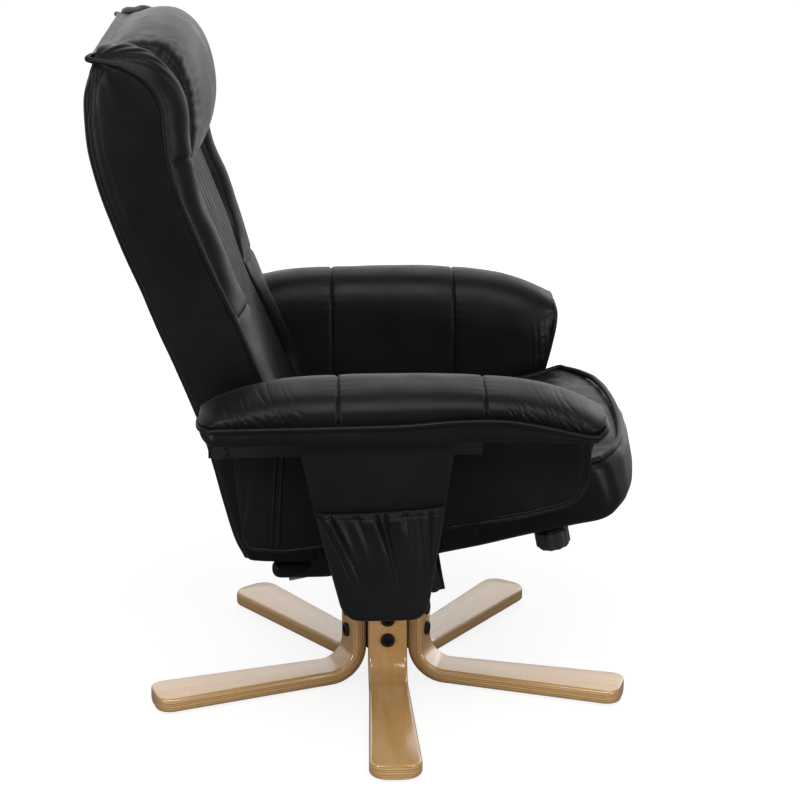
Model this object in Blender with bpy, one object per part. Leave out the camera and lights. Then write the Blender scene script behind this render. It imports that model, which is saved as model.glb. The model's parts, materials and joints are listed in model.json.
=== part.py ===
"""Swivel recliner: leather seat, reclining back and armrests on a five-leg bent-ply base.

Metres, +Z up, the floor at Z = 0, the chair facing +X. Every mesh is drawn in the chair's own
coordinates, whose Z axis is the swivel axis. "Right" is the sitter's right, at -Y.
"""
import math

import bmesh
import bpy
from mathutils import Vector

# Clearances
FIT = 0.0003              # gap between pieces that touch
RUN = 0.0010              # gap between plates that turn side by side
WELD = 0.00001            # points closer than this are one
SWIVEL_X = 0.0245         # swivel axis ahead of the middle of the whole chair

# Base
LEG_COUNT = 5
LEG_REACH = 0.374
LEG_TOP = 0.140
LEG_THICKNESS = 0.022
LEG_HUB_WIDTH = 0.060
LEG_TIP_WIDTH = 0.076
LEG_TIP_ROUND = 0.022
LEG_EDGE = 0.0035
LEG_BEND = 0.036          # inner radius of the bend
LEG_SPACING = 0.001       # between neighbouring legs at the hub
GLIDE_HEIGHT = 0.005
GLIDE_RADIUS = 0.014
GLIDE_CHAMFER = 0.002
GLIDE_INSET = 0.040       # glide centre from the leg's tip
HUB_WALL = 0.004
HUB_BOTTOM = 0.060
HUB_TOP = 0.150
HUB_WEB = 0.010
BOLT_HEIGHTS = (0.083, 0.117)
BOLT_RADIUS = 0.004
BOLT_HEAD_RADIUS = 0.011
BOLT_HEAD_HEIGHT = 0.005
BOLT_HEAD_CHAMFER = 0.0025
NUT_PLATE_THICKNESS = 0.004
NUT_PLATE_WIDTH = 0.026
NUT_PLATE_MARGIN = 0.010  # plate beyond the outermost bolt
COLUMN_RADIUS = 0.025
COLUMN_TOP = 0.222
SPINDLE_RADIUS = 0.014
SPINDLE_PROUD = 0.004     # spindle above the swivel mount's floor
BEARING_RADIUS = 0.034
BEARING_HEIGHT = 0.012

# Swivel mount and seat frame, in the seat's tilted plane
SEAT_PLANE_Z = 0.272      # underside of the seat on the swivel axis
SEAT_TILT = math.radians(11.1)
FRAME_RISE = 0.008        # frame tubes above the seat's underside
MOUNT_LENGTH = 0.160
MOUNT_FLOOR = 0.006
MOUNT_WALL = 0.006
RAIL_SPACING = 0.165
TUBE_WIDTH = 0.025
TUBE_HEIGHT = 0.020
RAIL_REAR = -0.105
RAIL_FRONT = 0.222
FRAME_CLEAR = 0.004       # frame inside the cushion's recess
BOARD_THICKNESS = 0.012
BOARD_REAR = -0.088

# Seat cushion
SEAT_HALF = 0.238
SEAT_REAR = -0.172
SEAT_FLAT_Z = 0.254       # flattened rear of the underside
SEAT_FRONT = 0.348
SEAT_LIP_Z = 0.444
SEAT_LIP_BACK = 0.010     # lip behind the foremost point
SEAT_DIP = (0.298, 0.414)  # top edge just behind the lip
SEAT_TOP_REAR = (-0.098, 0.372)
SEAT_SKIRT_Z = 0.281
SEAT_EDGE = 0.0045
SEAT_CROWN = 0.022
SEAT_CROWN_FADE = 0.6     # share of the crown lost at the front
SEAT_NOSE = 0.017
SEAT_NOSE_FADE = 0.5      # share of the nose lost at the lip
SEAT_REAR_ROUND = 0.012
SEAT_UNDER_ROUND = 0.060
SEAT_FRONT_ROUND = 0.040
SEAT_LIP_ROUND = 0.014
SEAT_SKIRT_ROUND = 0.006
SEAT_DRAWN_IN = 0.005
SEAT_WALL = 0.016         # cushion beside the frame

# Recline hinge
HINGE_X = -0.180
HINGE_Z = 0.272
RECLINE = math.radians(28.0)
HINGE_INSET = 0.073       # hinges inside the frame's ends
HINGE_PLATE = 0.005
HINGE_EYE = 0.0115
PIN_RADIUS = 0.006
PIN_HEAD = 0.003
PIN_HEAD_RADIUS = 0.0096

# Backrest, in its own leaning coordinates: s up the back, t forward
BACK_X = -0.178
BACK_Z = 0.296
BACK_LEAN = math.radians(16.5)
BACK_WALL = 0.018
BACK_EDGE = 0.020
REAR_LINE = ((0.000, -0.036), (0.050, -0.041), (0.203, -0.036), (0.393, -0.050), (0.533, -0.060),
             (0.619, -0.057), (0.689, -0.040), (0.734, -0.011))
RIM_LINE = ((-0.031, 0.070), (0.100, 0.070), (0.292, 0.065), (0.417, 0.050), (0.533, 0.040),
            (0.594, 0.045), (0.647, 0.057), (0.687, 0.049), (0.715, 0.024), (0.734, -0.008))
POST_SPACING = 0.380
POST_CLEAR = 0.0195       # between posts and the casing's side walls
POST_T = -0.003           # middle of posts and rails
RAIL_BOTTOM_S = 0.030
RAIL_TOP_S = 0.615

# Back cushion and head pillow
CUSHION_INSET = 0.002     # cushion inside the casing's sides
CUSHION_FOOT_S = 0.012    # lower edge of the cushion
RIBS = 9
RIB_DEPTH = 0.006
PANEL_T = 0.062
PANEL_HALF_LINE = ((-0.050, 0.165), (0.170, 0.140), (0.330, 0.090), (0.520, 0.140), (0.700, 0.150))
BOLSTER_LINE = ((-0.050, 0.078), (0.050, 0.086), (0.166, 0.087), (0.281, 0.094), (0.375, 0.084),
                (0.484, 0.074), (0.540, 0.056))
CUSHION_ROLL = 0.008      # cushion ahead of the rim at its edges
PILLOW_REST = 0.012       # cushion ahead of the rim behind the pillow
PILLOW_FOOT_S = 0.560     # the cushion is flat from here up, for the pillow
PILLOW_INSET = 0.012      # pillow inside the casing's sides
PILLOW_END = 0.060        # length of the rounded ends
PILLOW_END_SCALE = 0.45
PILLOW_LIFT = 0.004       # rounded ends clear of the cushion
PILLOW_LINE = ((0.566, 0.082), (0.600, 0.108), (0.650, 0.121), (0.702, 0.121), (0.739, 0.099),
               (0.747, 0.065), (0.741, 0.028))

# Armrest linkage and armrests, distances from the middle plane where not said otherwise
ARM_PIVOT_X = -0.240
ARM_PIVOT_Z = 0.476
LINK_SPAN = 0.235         # along the bar, and between the pivots on the seat
ARM_CLEAR = 0.010         # between the arms and the seat or back
ARM_COVER = 0.012
ARM_PANEL_THICKNESS = 0.0395
LINK_CLEAR = 0.0015
LINK_THICKNESS = 0.005
LINK_WIDTH = 0.022
STUD_RADIUS = 0.006
STUD_HEAD_RADIUS = 0.010
STUD_HEAD = 0.004
STRAP_THICKNESS = 0.005
STRAP_WIDTH = 0.030
STRAP_LUG = 0.008
BAR_THICKNESS = 0.006
BAR_FLANGE = 0.0215
BAR_BOTTOM_Z = 0.467
BAR_TAIL = 0.014          # bar behind the arm's pivot
BAR_FRONT = 0.121
ARM_BOARD_Z = 0.503
ARM_BOARD_THICKNESS = 0.016
ARM_BOARD_INSET = 0.018   # board outside the arm's inner face
ARM_BOARD_WIDTH = 0.100
ARM_BOARD_REAR = -0.245
ARM_BOARD_FRONT = 0.268
ARM_BOARD_ROUND = 0.030
PAD_SKIN = 0.004          # pad outside the board's edge
PAD_HEM_Z = 0.506
PAD_REAR = -0.263
PAD_FRONT = 0.290
PAD_END_TUCK = 0.008
PAD_TOP_LINE = ((-0.263, 0.532), (-0.229, 0.554), (-0.128, 0.576), (0.008, 0.579), (0.118, 0.575),
                (0.226, 0.556), (0.282, 0.526), (0.290, 0.516))
PAD_COVER_LINE = ((-0.263, 0.499), (-0.226, 0.497), (-0.205, 0.376), (0.100, 0.372), (0.240, 0.384),
                  (0.290, 0.420))
ARM_PANEL_CORNERS = ((-0.221, 0.470, 0.010), (-0.208, 0.325, 0.018), (-0.150, 0.320, 0.040),
                     (0.182, 0.366, 0.060), (0.273, 0.388, 0.060))
POCKET_INSET = 0.0105     # pocket inside the board's outer edge
POCKET_ROOM = 0.018
POCKET_WALL = 0.004
POCKET_MOUTH_Z = 0.415
POCKET_BOTTOM_Z = 0.254
POCKET_TOP_X = (-0.129, 0.079)
POCKET_BOTTOM_X = (-0.071, 0.041)
POCKET_ROUND = 0.035

# Recline lock
LOCK_INSET = 0.018        # lock inside the frame's end
LOCK_BRACKET_HALF = 0.018
STRUT_WIDTH = 0.026
STRUT_THICKNESS = 0.004
STRUT_EYE = 0.009
STRUT_END = 0.012         # strut ahead of the knob's axis
STRUT_CRANK_U = (-0.150, -0.125)  # the strut steps inwards here
LUG_Y = -0.045            # middle of the strut's rear end
LOCK_SPINDLE_RADIUS = 0.005
KNOB_RADIUS = 0.025
KNOB_HEIGHT = 0.030
KNOB_CHAMFER = 0.004
KNOB_BOSS = 0.010
KNOB_SOCKET = 0.020
KNOB_LOBES = 10
KNOB_LOBE_DEPTH = 0.002
LUG_PLATE = 0.005
LUG_PIN_RADIUS = 0.004
LUG_EYE = 0.008

# Places worked out from the sizes above
HUB_FLAT = (LEG_HUB_WIDTH + LEG_SPACING) / (2 * math.tan(math.pi / LEG_COUNT))
LEG_BACK = HUB_FLAT + FIT
LEG_FACE = LEG_BACK + LEG_THICKNESS
LEG_UNDER = GLIDE_HEIGHT + FIT
BEARING_Z = COLUMN_TOP + FIT
MOUNT_Z = BEARING_Z + BEARING_HEIGHT + FIT
RAIL_Y = RAIL_SPACING / 2
BOARD_N = FRAME_RISE + TUBE_HEIGHT + FIT
CROSS_FRONT_U = RAIL_FRONT + FIT + TUBE_WIDTH / 2
CROSS_REAR_U = RAIL_REAR - FIT - TUBE_WIDTH / 2
CROSS_HALF = SEAT_HALF - SEAT_WALL - FRAME_CLEAR
HINGE_Y = CROSS_HALF - HINGE_INSET
LOCK_Y = LOCK_INSET - CROSS_HALF
POST_Y = POST_SPACING / 2
BACK_HALF = POST_Y + TUBE_WIDTH / 2 + POST_CLEAR + BACK_WALL
CUSHION_HALF = BACK_HALF - CUSHION_INSET
CUSHION_TOP_S = RIM_LINE[-3][0]
PILLOW_HALF = BACK_HALF - PILLOW_INSET
ARM_INNER = max(SEAT_HALF, BACK_HALF) + ARM_CLEAR
ARM_BOARD_INNER = ARM_INNER + ARM_BOARD_INSET
ARM_BOARD_OUTER = ARM_BOARD_INNER + ARM_BOARD_WIDTH
POCKET_INNER = ARM_BOARD_OUTER - POCKET_INSET
PANEL_INNER = ARM_INNER + ARM_COVER + FIT
PANEL_OUTER = PANEL_INNER + ARM_PANEL_THICKNESS
LINK_INNER = PANEL_OUTER + LINK_CLEAR
BAR_INNER = LINK_INNER + LINK_THICKNESS + RUN
BAR_OUTER = BAR_INNER + BAR_THICKNESS
LINK_FOOT_X = HINGE_X + LINK_SPAN
LINK_HEAD_X = ARM_PIVOT_X + LINK_SPAN
STRUT_N = RUN - FIT + STRUT_THICKNESS / 2
HALF_TUBE = TUBE_HEIGHT / 2


def seat_point(u, v, n):
    """Seat plane: u forward along the tilted underside, v across, n up from it."""
    sin, cos = math.sin(SEAT_TILT), math.cos(SEAT_TILT)
    return Vector((u * cos - n * sin, v, SEAT_PLANE_Z + u * sin + n * cos))


def seat_coordinates(x, z):
    """The u and n of a point of the side view."""
    sin, cos = math.sin(SEAT_TILT), math.cos(SEAT_TILT)
    rise = z - SEAT_PLANE_Z
    return x * cos + rise * sin, rise * cos - x * sin


def back_point(s, y, t):
    """Leaning back: s up the back, y across, t forward."""
    sin, cos = math.sin(BACK_LEAN), math.cos(BACK_LEAN)
    return Vector((BACK_X - s * sin + t * cos, y, BACK_Z + s * cos + t * sin))


def back_coordinates(x, z):
    """The s and t of a point of the side view."""
    sin, cos = math.sin(BACK_LEAN), math.cos(BACK_LEAN)
    return (z - BACK_Z) * cos - (x - BACK_X) * sin, (z - BACK_Z) * sin + (x - BACK_X) * cos


def side_point(x, z, y):
    """Side view of the chair, extruded across it."""
    return Vector((x, y, z))


def plan_point(x, y, z):
    """Plan view of the chair, extruded upwards."""
    return Vector((x, y, z))


HINGE_U, HINGE_N = seat_coordinates(HINGE_X, HINGE_Z)
HINGE_S, HINGE_T = back_coordinates(HINGE_X, HINGE_Z)
STUD_S, STUD_T = back_coordinates(ARM_PIVOT_X, ARM_PIVOT_Z)
FOOT_U, FOOT_N = seat_coordinates(LINK_FOOT_X, HINGE_Z)
LUG_LENGTH = (HINGE_N - STRUT_N) * 2 / (1 + math.cos(RECLINE / 2))
STRUT_TRAVEL = 2 * LUG_LENGTH * math.sin(RECLINE / 2)
LUG_PIN_U = HINGE_U - STRUT_TRAVEL / 2
LUG_PIN_RISE = LUG_LENGTH * (1 - math.cos(RECLINE / 2))


def mesh_from(bm, sharp=35.0):
    """Finished mesh with its faces pointing out, smooth where it is round."""
    bmesh.ops.recalc_face_normals(bm, faces=bm.faces)
    mesh = bpy.data.meshes.new("shape")
    bm.to_mesh(mesh)
    bm.free()
    mesh.shade_smooth()
    mesh.set_sharp_from_angle(angle=math.radians(sharp))
    return mesh


def loft(sections, sharp=35.0):
    """Closed body through loops of equally many points, flat at both ends."""
    bm = bmesh.new()
    rings = [[bm.verts.new(point) for point in section] for section in sections]
    count = len(rings[0])
    for lower, upper in zip(rings, rings[1:]):
        for i in range(count):
            j = (i + 1) % count
            bm.faces.new((lower[i], lower[j], upper[j], upper[i]))
    bm.faces.new(rings[0])
    bm.faces.new(rings[-1])
    return mesh_from(bm, sharp)


def prism(outline, place, low, high):
    """Outline extruded from one level to the other."""
    return loft([[place(a, b, level) for a, b in outline] for level in (low, high)])


def box(place, a_range, b_range, c_range):
    outline = [(a_range[0], b_range[0]), (a_range[1], b_range[0]),
               (a_range[1], b_range[1]), (a_range[0], b_range[1])]
    return prism(outline, place, *c_range)


def turned(profile, origin, axis, sides=20):
    """Body of revolution from (radius, distance along the axis) pairs."""
    turn = Vector(axis).to_track_quat("Z", "Y")
    rings = []
    for radius, along in profile:
        angles = [math.tau * i / sides for i in range(sides)]
        ring = [Vector((radius * math.cos(a), radius * math.sin(a), along)) for a in angles]
        rings.append([Vector(origin) + turn @ point for point in ring])
    return loft(rings)


def rounded(corners, steps=5):
    """Polygon whose (x, y, radius) corners are filleted."""
    points = []
    for i, (x, y, radius) in enumerate(corners):
        here = Vector((x, y))
        back = Vector(corners[i - 1][:2]) - here
        ahead = Vector(corners[(i + 1) % len(corners)][:2]) - here
        half = back.angle(ahead) / 2
        if radius == 0:
            points.append((x, y))
            continue
        reach = min(radius / math.tan(half), 0.49 * back.length, 0.49 * ahead.length)
        start = here + back.normalized() * reach
        end = here + ahead.normalized() * reach
        middle = (back.normalized() + ahead.normalized()).normalized()
        centre = here + middle * (reach / math.cos(half))
        sweep = (start - centre).angle_signed(end - centre)
        for k in range(steps + 1):
            turn = -sweep * k / steps
            arm = start - centre
            points.append((centre.x + arm.x * math.cos(turn) - arm.y * math.sin(turn),
                           centre.y + arm.x * math.sin(turn) + arm.y * math.cos(turn)))
    return points


def eye_outline(centre, radius, foot, steps=10):
    """Round end of a plate about a centre, joined to a straight foot of two points."""
    first, second = Vector(foot[0]), Vector(foot[1])
    middle = Vector(centre)
    away = (middle - (first + second) / 2).normalized()
    side = (second - first).normalized()
    points = [tuple(first)]
    for k in range(steps + 1):
        angle = math.pi * k / steps
        points.append(tuple(middle + radius * (away * math.sin(angle) - side * math.cos(angle))))
    points.append(tuple(second))
    return points


def interpolate(line, x):
    """Smooth curve through (x, y) points in rising x, level beyond its ends."""
    if x <= line[0][0]:
        return line[0][1]
    if x >= line[-1][0]:
        return line[-1][1]
    k = max(i for i in range(len(line) - 1) if line[i][0] <= x)
    slopes = []
    for i in (k, k + 1):
        a, b = line[max(i - 1, 0)], line[min(i + 1, len(line) - 1)]
        slopes.append((b[1] - a[1]) / (b[0] - a[0]))
    (x0, y0), (x1, y1) = line[k], line[k + 1]
    span = x1 - x0
    q = (x - x0) / span
    return (y0 * (1 + 2 * q) * (1 - q) ** 2 + slopes[0] * span * q * (1 - q) ** 2
            + y1 * q * q * (3 - 2 * q) + slopes[1] * span * q * q * (q - 1))


def spline(points, steps):
    """Smooth open curve through the points, with steps between neighbours."""
    result = []
    last = len(points) - 1
    for i in range(last):
        p0, p1, p2, p3 = (Vector(points[min(max(j, 0), last)]) for j in range(i - 1, i + 3))
        for k in range(steps):
            q = k / steps
            result.append(tuple(0.5 * (2 * p1 + (p2 - p0) * q + (2 * p0 - 5 * p1 + 4 * p2 - p3) * q * q
                                       + (3 * p1 - p0 - 3 * p2 + p3) * q ** 3)))
    result.append(tuple(points[last]))
    return result


def combine(mesh, other, operation, sharp=35.0):
    """Exact Boolean of two meshes."""
    target = bpy.data.objects.new("target", mesh)
    tool = bpy.data.objects.new("tool", other)
    for item in (target, tool):
        bpy.context.collection.objects.link(item)
    modifier = target.modifiers.new("Boolean", "BOOLEAN")
    modifier.operation = operation
    modifier.object = tool
    modifier.solver = "EXACT"
    graph = bpy.context.evaluated_depsgraph_get()
    result = bpy.data.meshes.new_from_object(target.evaluated_get(graph))
    for item in (target, tool):
        bpy.data.objects.remove(item)
    bm = bmesh.new()
    bm.from_mesh(result)
    bmesh.ops.remove_doubles(bm, verts=bm.verts, dist=WELD)
    return mesh_from(bm, sharp)


def cut(mesh, *tools):
    for tool in tools:
        mesh = combine(mesh, tool, "DIFFERENCE")
    return mesh


def join(mesh, *others):
    for other in others:
        mesh = combine(mesh, other, "UNION")
    return mesh


def bore(x, z, radius, sides=16):
    """Cutter for a hole right across the chair."""
    return turned([(radius, -1.0), (radius, 1.0)], (x, 0, z), (0, 1, 0), sides)


def seat_side(u, n, y):
    """Seat plane seen from the side, extruded across the chair."""
    return seat_point(u, y, n)


def back_side(s, t, y):
    """Back seen from the side, extruded across the chair."""
    return back_point(s, y, t)


def finish(name, color, roughness, metallic=0.0):
    material = bpy.data.materials.new(name)
    material.use_nodes = True
    shader = material.node_tree.nodes["Principled BSDF"]
    shader.inputs["Base Color"].default_value = (*color, 1.0)
    shader.inputs["Roughness"].default_value = roughness
    shader.inputs["Metallic"].default_value = metallic
    return material


for old in list(bpy.data.objects):
    bpy.data.objects.remove(old)

LEATHER = finish("black_leather", (0.012, 0.012, 0.013), 0.42)
CLOTH = finish("pocket_leather", (0.014, 0.014, 0.015), 0.50)
PLY = finish("birch_ply", (0.66, 0.44, 0.23), 0.45)
BOARD = finish("raw_board", (0.50, 0.36, 0.21), 0.70)
BLACK_STEEL = finish("black_steel", (0.015, 0.015, 0.016), 0.38)
GREY_STEEL = finish("grey_steel", (0.30, 0.30, 0.31), 0.40, 0.9)
BLACK_PLASTIC = finish("black_plastic", (0.018, 0.018, 0.018), 0.45)

PLACES = {}
EMPTIES = {}


def body(name, place, parent=None):
    """Empty on a moving body's joint axis, which its pieces hang on."""
    empty = bpy.data.objects.new(name + "_body", None)
    bpy.context.collection.objects.link(empty)
    PLACES[name] = Vector(place)
    EMPTIES[name] = empty
    if parent is None:
        empty.location = Vector((SWIVEL_X, 0, 0))
    else:
        empty.parent = EMPTIES[parent]
        empty.location = PLACES[name] - PLACES[parent]


def add(name, mesh, on_body, material, spin=0.0):
    """Named piece on a body, with its mesh in the chair's coordinates."""
    piece = bpy.data.objects.new(name, mesh)
    bpy.context.collection.objects.link(piece)
    piece.parent = EMPTIES[on_body]
    piece.location = -PLACES[on_body]
    piece.rotation_euler = (0, 0, spin)
    mesh.name = name
    if not mesh.materials:
        mesh.materials.append(material)


body("base", (0, 0, 0))
body("seat", (0, 0, 0), "base")
body("backrest", (HINGE_X, 0, HINGE_Z), "seat")
body("lock_strut", seat_point(LUG_PIN_U, LUG_Y, STRUT_N), "seat")
body("lock_knob", seat_point(CROSS_FRONT_U, LOCK_Y, STRUT_N), "seat")
SIDES = {"left": 1, "right": -1}
for side in SIDES:
    body("armrest_" + side, (ARM_PIVOT_X, 0, ARM_PIVOT_Z), "backrest")
    body("arm_link_" + side, (LINK_FOOT_X, 0, HINGE_Z), "seat")


# Base: legs, glides, bolts, hub, column and bearing
def leg_mesh():
    """Bent ply leg along +X: upright against the hub, round bend, flat run and rounded tip."""
    half = LEG_THICKNESS / 2
    bend_x = LEG_FACE + LEG_BEND
    bend_z = LEG_UNDER + LEG_THICKNESS + LEG_BEND
    run_end = LEG_REACH - LEG_TIP_ROUND
    tip_half = LEG_TIP_WIDTH / 2
    stations = [(LEG_BACK + half, LEG_TOP, 1.0, 0.0, LEG_HUB_WIDTH / 2)]
    for k in range(7):
        angle = math.pi + math.pi / 2 * k / 6
        cos, sin = math.cos(angle), math.sin(angle)
        reach = LEG_BEND + half
        stations.append((bend_x + reach * cos, bend_z + reach * sin, -cos, -sin, LEG_HUB_WIDTH / 2))
    for k in range(6):
        angle = math.pi / 2 * k / 5
        along = run_end + LEG_TIP_ROUND * math.sin(angle)
        width = tip_half - LEG_TIP_ROUND * (1 - math.cos(angle))
        stations.append((along, LEG_UNDER + half, 0.0, 1.0, width))
    sections = []
    for x, z, nx, nz, width in stations:
        flat, thin = width - LEG_EDGE, half - LEG_EDGE
        corners = ((-width, -thin), (-width, thin), (-flat, half), (flat, half),
                   (width, thin), (width, -thin), (flat, -half), (-flat, -half))
        sections.append([Vector((x + q * nx, w, z + q * nz)) for w, q in corners])
    return cut(loft(sections), *(bolt_hole(z, 0.0) for z in BOLT_HEIGHTS))


def bolt_hole(z, angle):
    reach = LEG_FACE + LEG_THICKNESS
    axis = (math.cos(angle), math.sin(angle), 0)
    return turned([(BOLT_RADIUS + FIT, COLUMN_RADIUS), (BOLT_RADIUS + FIT, reach)], (0, 0, z), axis, 12)


def bolts_mesh():
    """Bolt pair of one leg, screwed into the nut plate behind the hub's wall."""
    plate_face = HUB_FLAT - HUB_WALL - FIT
    plate = box(plan_point, (plate_face - NUT_PLATE_THICKNESS, plate_face),
                (-NUT_PLATE_WIDTH / 2, NUT_PLATE_WIDTH / 2),
                (min(BOLT_HEIGHTS) - NUT_PLATE_MARGIN, max(BOLT_HEIGHTS) + NUT_PLATE_MARGIN))
    seat = LEG_FACE + FIT
    profile = [(BOLT_RADIUS, plate_face - NUT_PLATE_THICKNESS - BOLT_RADIUS / 2), (BOLT_RADIUS, seat),
               (BOLT_HEAD_RADIUS, seat),
               (BOLT_HEAD_RADIUS, seat + BOLT_HEAD_HEIGHT - BOLT_HEAD_CHAMFER),
               (BOLT_HEAD_RADIUS - BOLT_HEAD_CHAMFER, seat + BOLT_HEAD_HEIGHT)]
    return join(plate, *(turned(profile, (0, 0, z), (1, 0, 0), 12) for z in BOLT_HEIGHTS))


def hub_prism(flat, low, high):
    """Regular prism whose flats face the legs."""
    corner = flat / math.cos(math.pi / LEG_COUNT)
    angles = [leg_angle(k + 0.5) for k in range(LEG_COUNT)]
    outline = [(corner * math.cos(a), corner * math.sin(a)) for a in angles]
    return prism(outline, plan_point, low, high)


def leg_angle(k):
    return -math.pi / 2 + math.tau * k / LEG_COUNT


def build_base():
    leg, bolts = leg_mesh(), bolts_mesh()
    glide = turned([(GLIDE_RADIUS - GLIDE_CHAMFER, 0), (GLIDE_RADIUS, GLIDE_CHAMFER),
                    (GLIDE_RADIUS, GLIDE_HEIGHT)], (LEG_REACH - GLIDE_INSET, 0, 0), (0, 0, 1), 16)
    hub = cut(hub_prism(HUB_FLAT, HUB_BOTTOM, HUB_TOP),
              hub_prism(HUB_FLAT - HUB_WALL, HUB_BOTTOM - HUB_WEB, HUB_TOP - HUB_WEB),
              turned([(COLUMN_RADIUS + FIT, 0), (COLUMN_RADIUS + FIT, 1)], (0, 0, 0), (0, 0, 1), 24))
    for k in range(LEG_COUNT):
        add(f"leg_{k + 1}", leg, "base", PLY, leg_angle(k))
        add(f"foot_glide_{k + 1}", glide, "base", BLACK_PLASTIC, leg_angle(k))
        add(f"leg_bolts_{k + 1}", bolts, "base", BLACK_STEEL, leg_angle(k))
        hub = cut(hub, *(bolt_hole(z, leg_angle(k)) for z in BOLT_HEIGHTS))
    add("base_hub", hub, "base", BLACK_STEEL)
    spindle_top = MOUNT_Z + MOUNT_FLOOR + SPINDLE_PROUD
    column = turned([(COLUMN_RADIUS, HUB_BOTTOM), (COLUMN_RADIUS, COLUMN_TOP),
                     (SPINDLE_RADIUS, COLUMN_TOP), (SPINDLE_RADIUS, spindle_top)],
                    (0, 0, 0), (0, 0, 1), 24)
    add("column", column, "base", BLACK_STEEL)
    ring = turned([(BEARING_RADIUS, BEARING_Z), (BEARING_RADIUS, BEARING_Z + BEARING_HEIGHT)],
                  (0, 0, 0), (0, 0, 1), 24)
    add("swivel_bearing", cut(ring, spindle_hole()), "base", GREY_STEEL)


def spindle_hole():
    radius = SPINDLE_RADIUS + FIT
    return turned([(radius, 0), (radius, 1)], (0, 0, 0), (0, 0, 1), 24)


# Seat frame: swivel mount, rails, cross members and board
def mount_section(x):
    """Trough section of the swivel mount, its walls reaching up to the tilted rails."""
    top = SEAT_PLANE_Z + x * math.tan(SEAT_TILT) + (FRAME_RISE - FIT) / math.cos(SEAT_TILT)
    outer, inner = RAIL_Y + MOUNT_WALL / 2, RAIL_Y - MOUNT_WALL / 2
    floor = MOUNT_Z + MOUNT_FLOOR
    corners = ((-outer, MOUNT_Z), (outer, MOUNT_Z), (outer, top), (inner, top),
               (inner, floor), (-inner, floor), (-inner, top), (-outer, top))
    return [Vector((x, y, z)) for y, z in corners]


def tube(u_range, v_range):
    return box(seat_point, u_range, v_range, (FRAME_RISE, FRAME_RISE + TUBE_HEIGHT))


def build_seat_frame():
    mount = loft([mount_section(-MOUNT_LENGTH / 2), mount_section(MOUNT_LENGTH / 2)])
    add("swivel_mount", cut(mount, spindle_hole()), "seat", BLACK_STEEL)
    half = TUBE_WIDTH / 2
    for side, sign in SIDES.items():
        add("seat_rail_" + side, tube((RAIL_REAR, RAIL_FRONT), (sign * RAIL_Y - half, sign * RAIL_Y + half)),
            "seat", BLACK_STEEL)
    for end, middle in (("front", CROSS_FRONT_U), ("rear", CROSS_REAR_U)):
        add("seat_cross_" + end, tube((middle - half, middle + half), (-CROSS_HALF, CROSS_HALF)),
            "seat", BLACK_STEEL)
    board = box(seat_point, (BOARD_REAR, CROSS_FRONT_U + half), (-CROSS_HALF, CROSS_HALF),
                (BOARD_N, BOARD_N + BOARD_THICKNESS))
    add("seat_board", board, "seat", BOARD)


# Seat cushion
def seat_profile():
    """Side view of the seat: flat rear, tilted underside, round front, lip and rear step."""
    slope = math.tan(SEAT_TILT)
    flat_end = (SEAT_FLAT_Z - SEAT_PLANE_Z) / slope
    rear_x, rear_z = SEAT_TOP_REAR
    return rounded([(SEAT_REAR, SEAT_FLAT_Z, SEAT_REAR_ROUND), (flat_end, SEAT_FLAT_Z, SEAT_UNDER_ROUND),
                    (SEAT_FRONT, SEAT_PLANE_Z + SEAT_FRONT * slope, SEAT_FRONT_ROUND),
                    (SEAT_FRONT - SEAT_LIP_BACK, SEAT_LIP_Z, SEAT_LIP_ROUND),
                    (*SEAT_DIP, SEAT_UNDER_ROUND), (rear_x, rear_z, SEAT_REAR_ROUND),
                    (rear_x, SEAT_SKIRT_Z, SEAT_SKIRT_ROUND),
                    (SEAT_REAR, SEAT_SKIRT_Z, SEAT_SKIRT_ROUND)], 4)


def seat_section(y, inset):
    """Side view at a distance from the middle: crowned top, full nose, rounded ends."""
    profile = seat_profile()
    swell = 1 - (y / SEAT_HALF) ** 2
    mid_x = (SEAT_REAR + SEAT_FRONT) / 2
    mid_z = (SEAT_FLAT_Z + SEAT_LIP_Z) / 2
    points = []
    for x, z in profile:
        top = min(max((z - mid_z) / (SEAT_LIP_Z - mid_z), 0.0), 1.0)
        front = min(max((x - SEAT_DIP[0]) / (SEAT_FRONT - SEAT_DIP[0]), 0.0), 1.0)
        q = (x - SEAT_REAR) / (SEAT_FRONT - SEAT_REAR)
        drawn = SEAT_DRAWN_IN * 4 * q * (1 - q) * abs(y) / SEAT_HALF
        rise = SEAT_CROWN * swell * top * (1 - SEAT_CROWN_FADE * front)
        nose = SEAT_NOSE * swell * front * (1 - SEAT_NOSE_FADE * top)
        points.append(Vector((x + nose - inset * math.copysign(1, x - mid_x),
                              y - math.copysign(drawn, y),
                              z + rise - inset * math.copysign(1, z - mid_z))))
    return points


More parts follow.
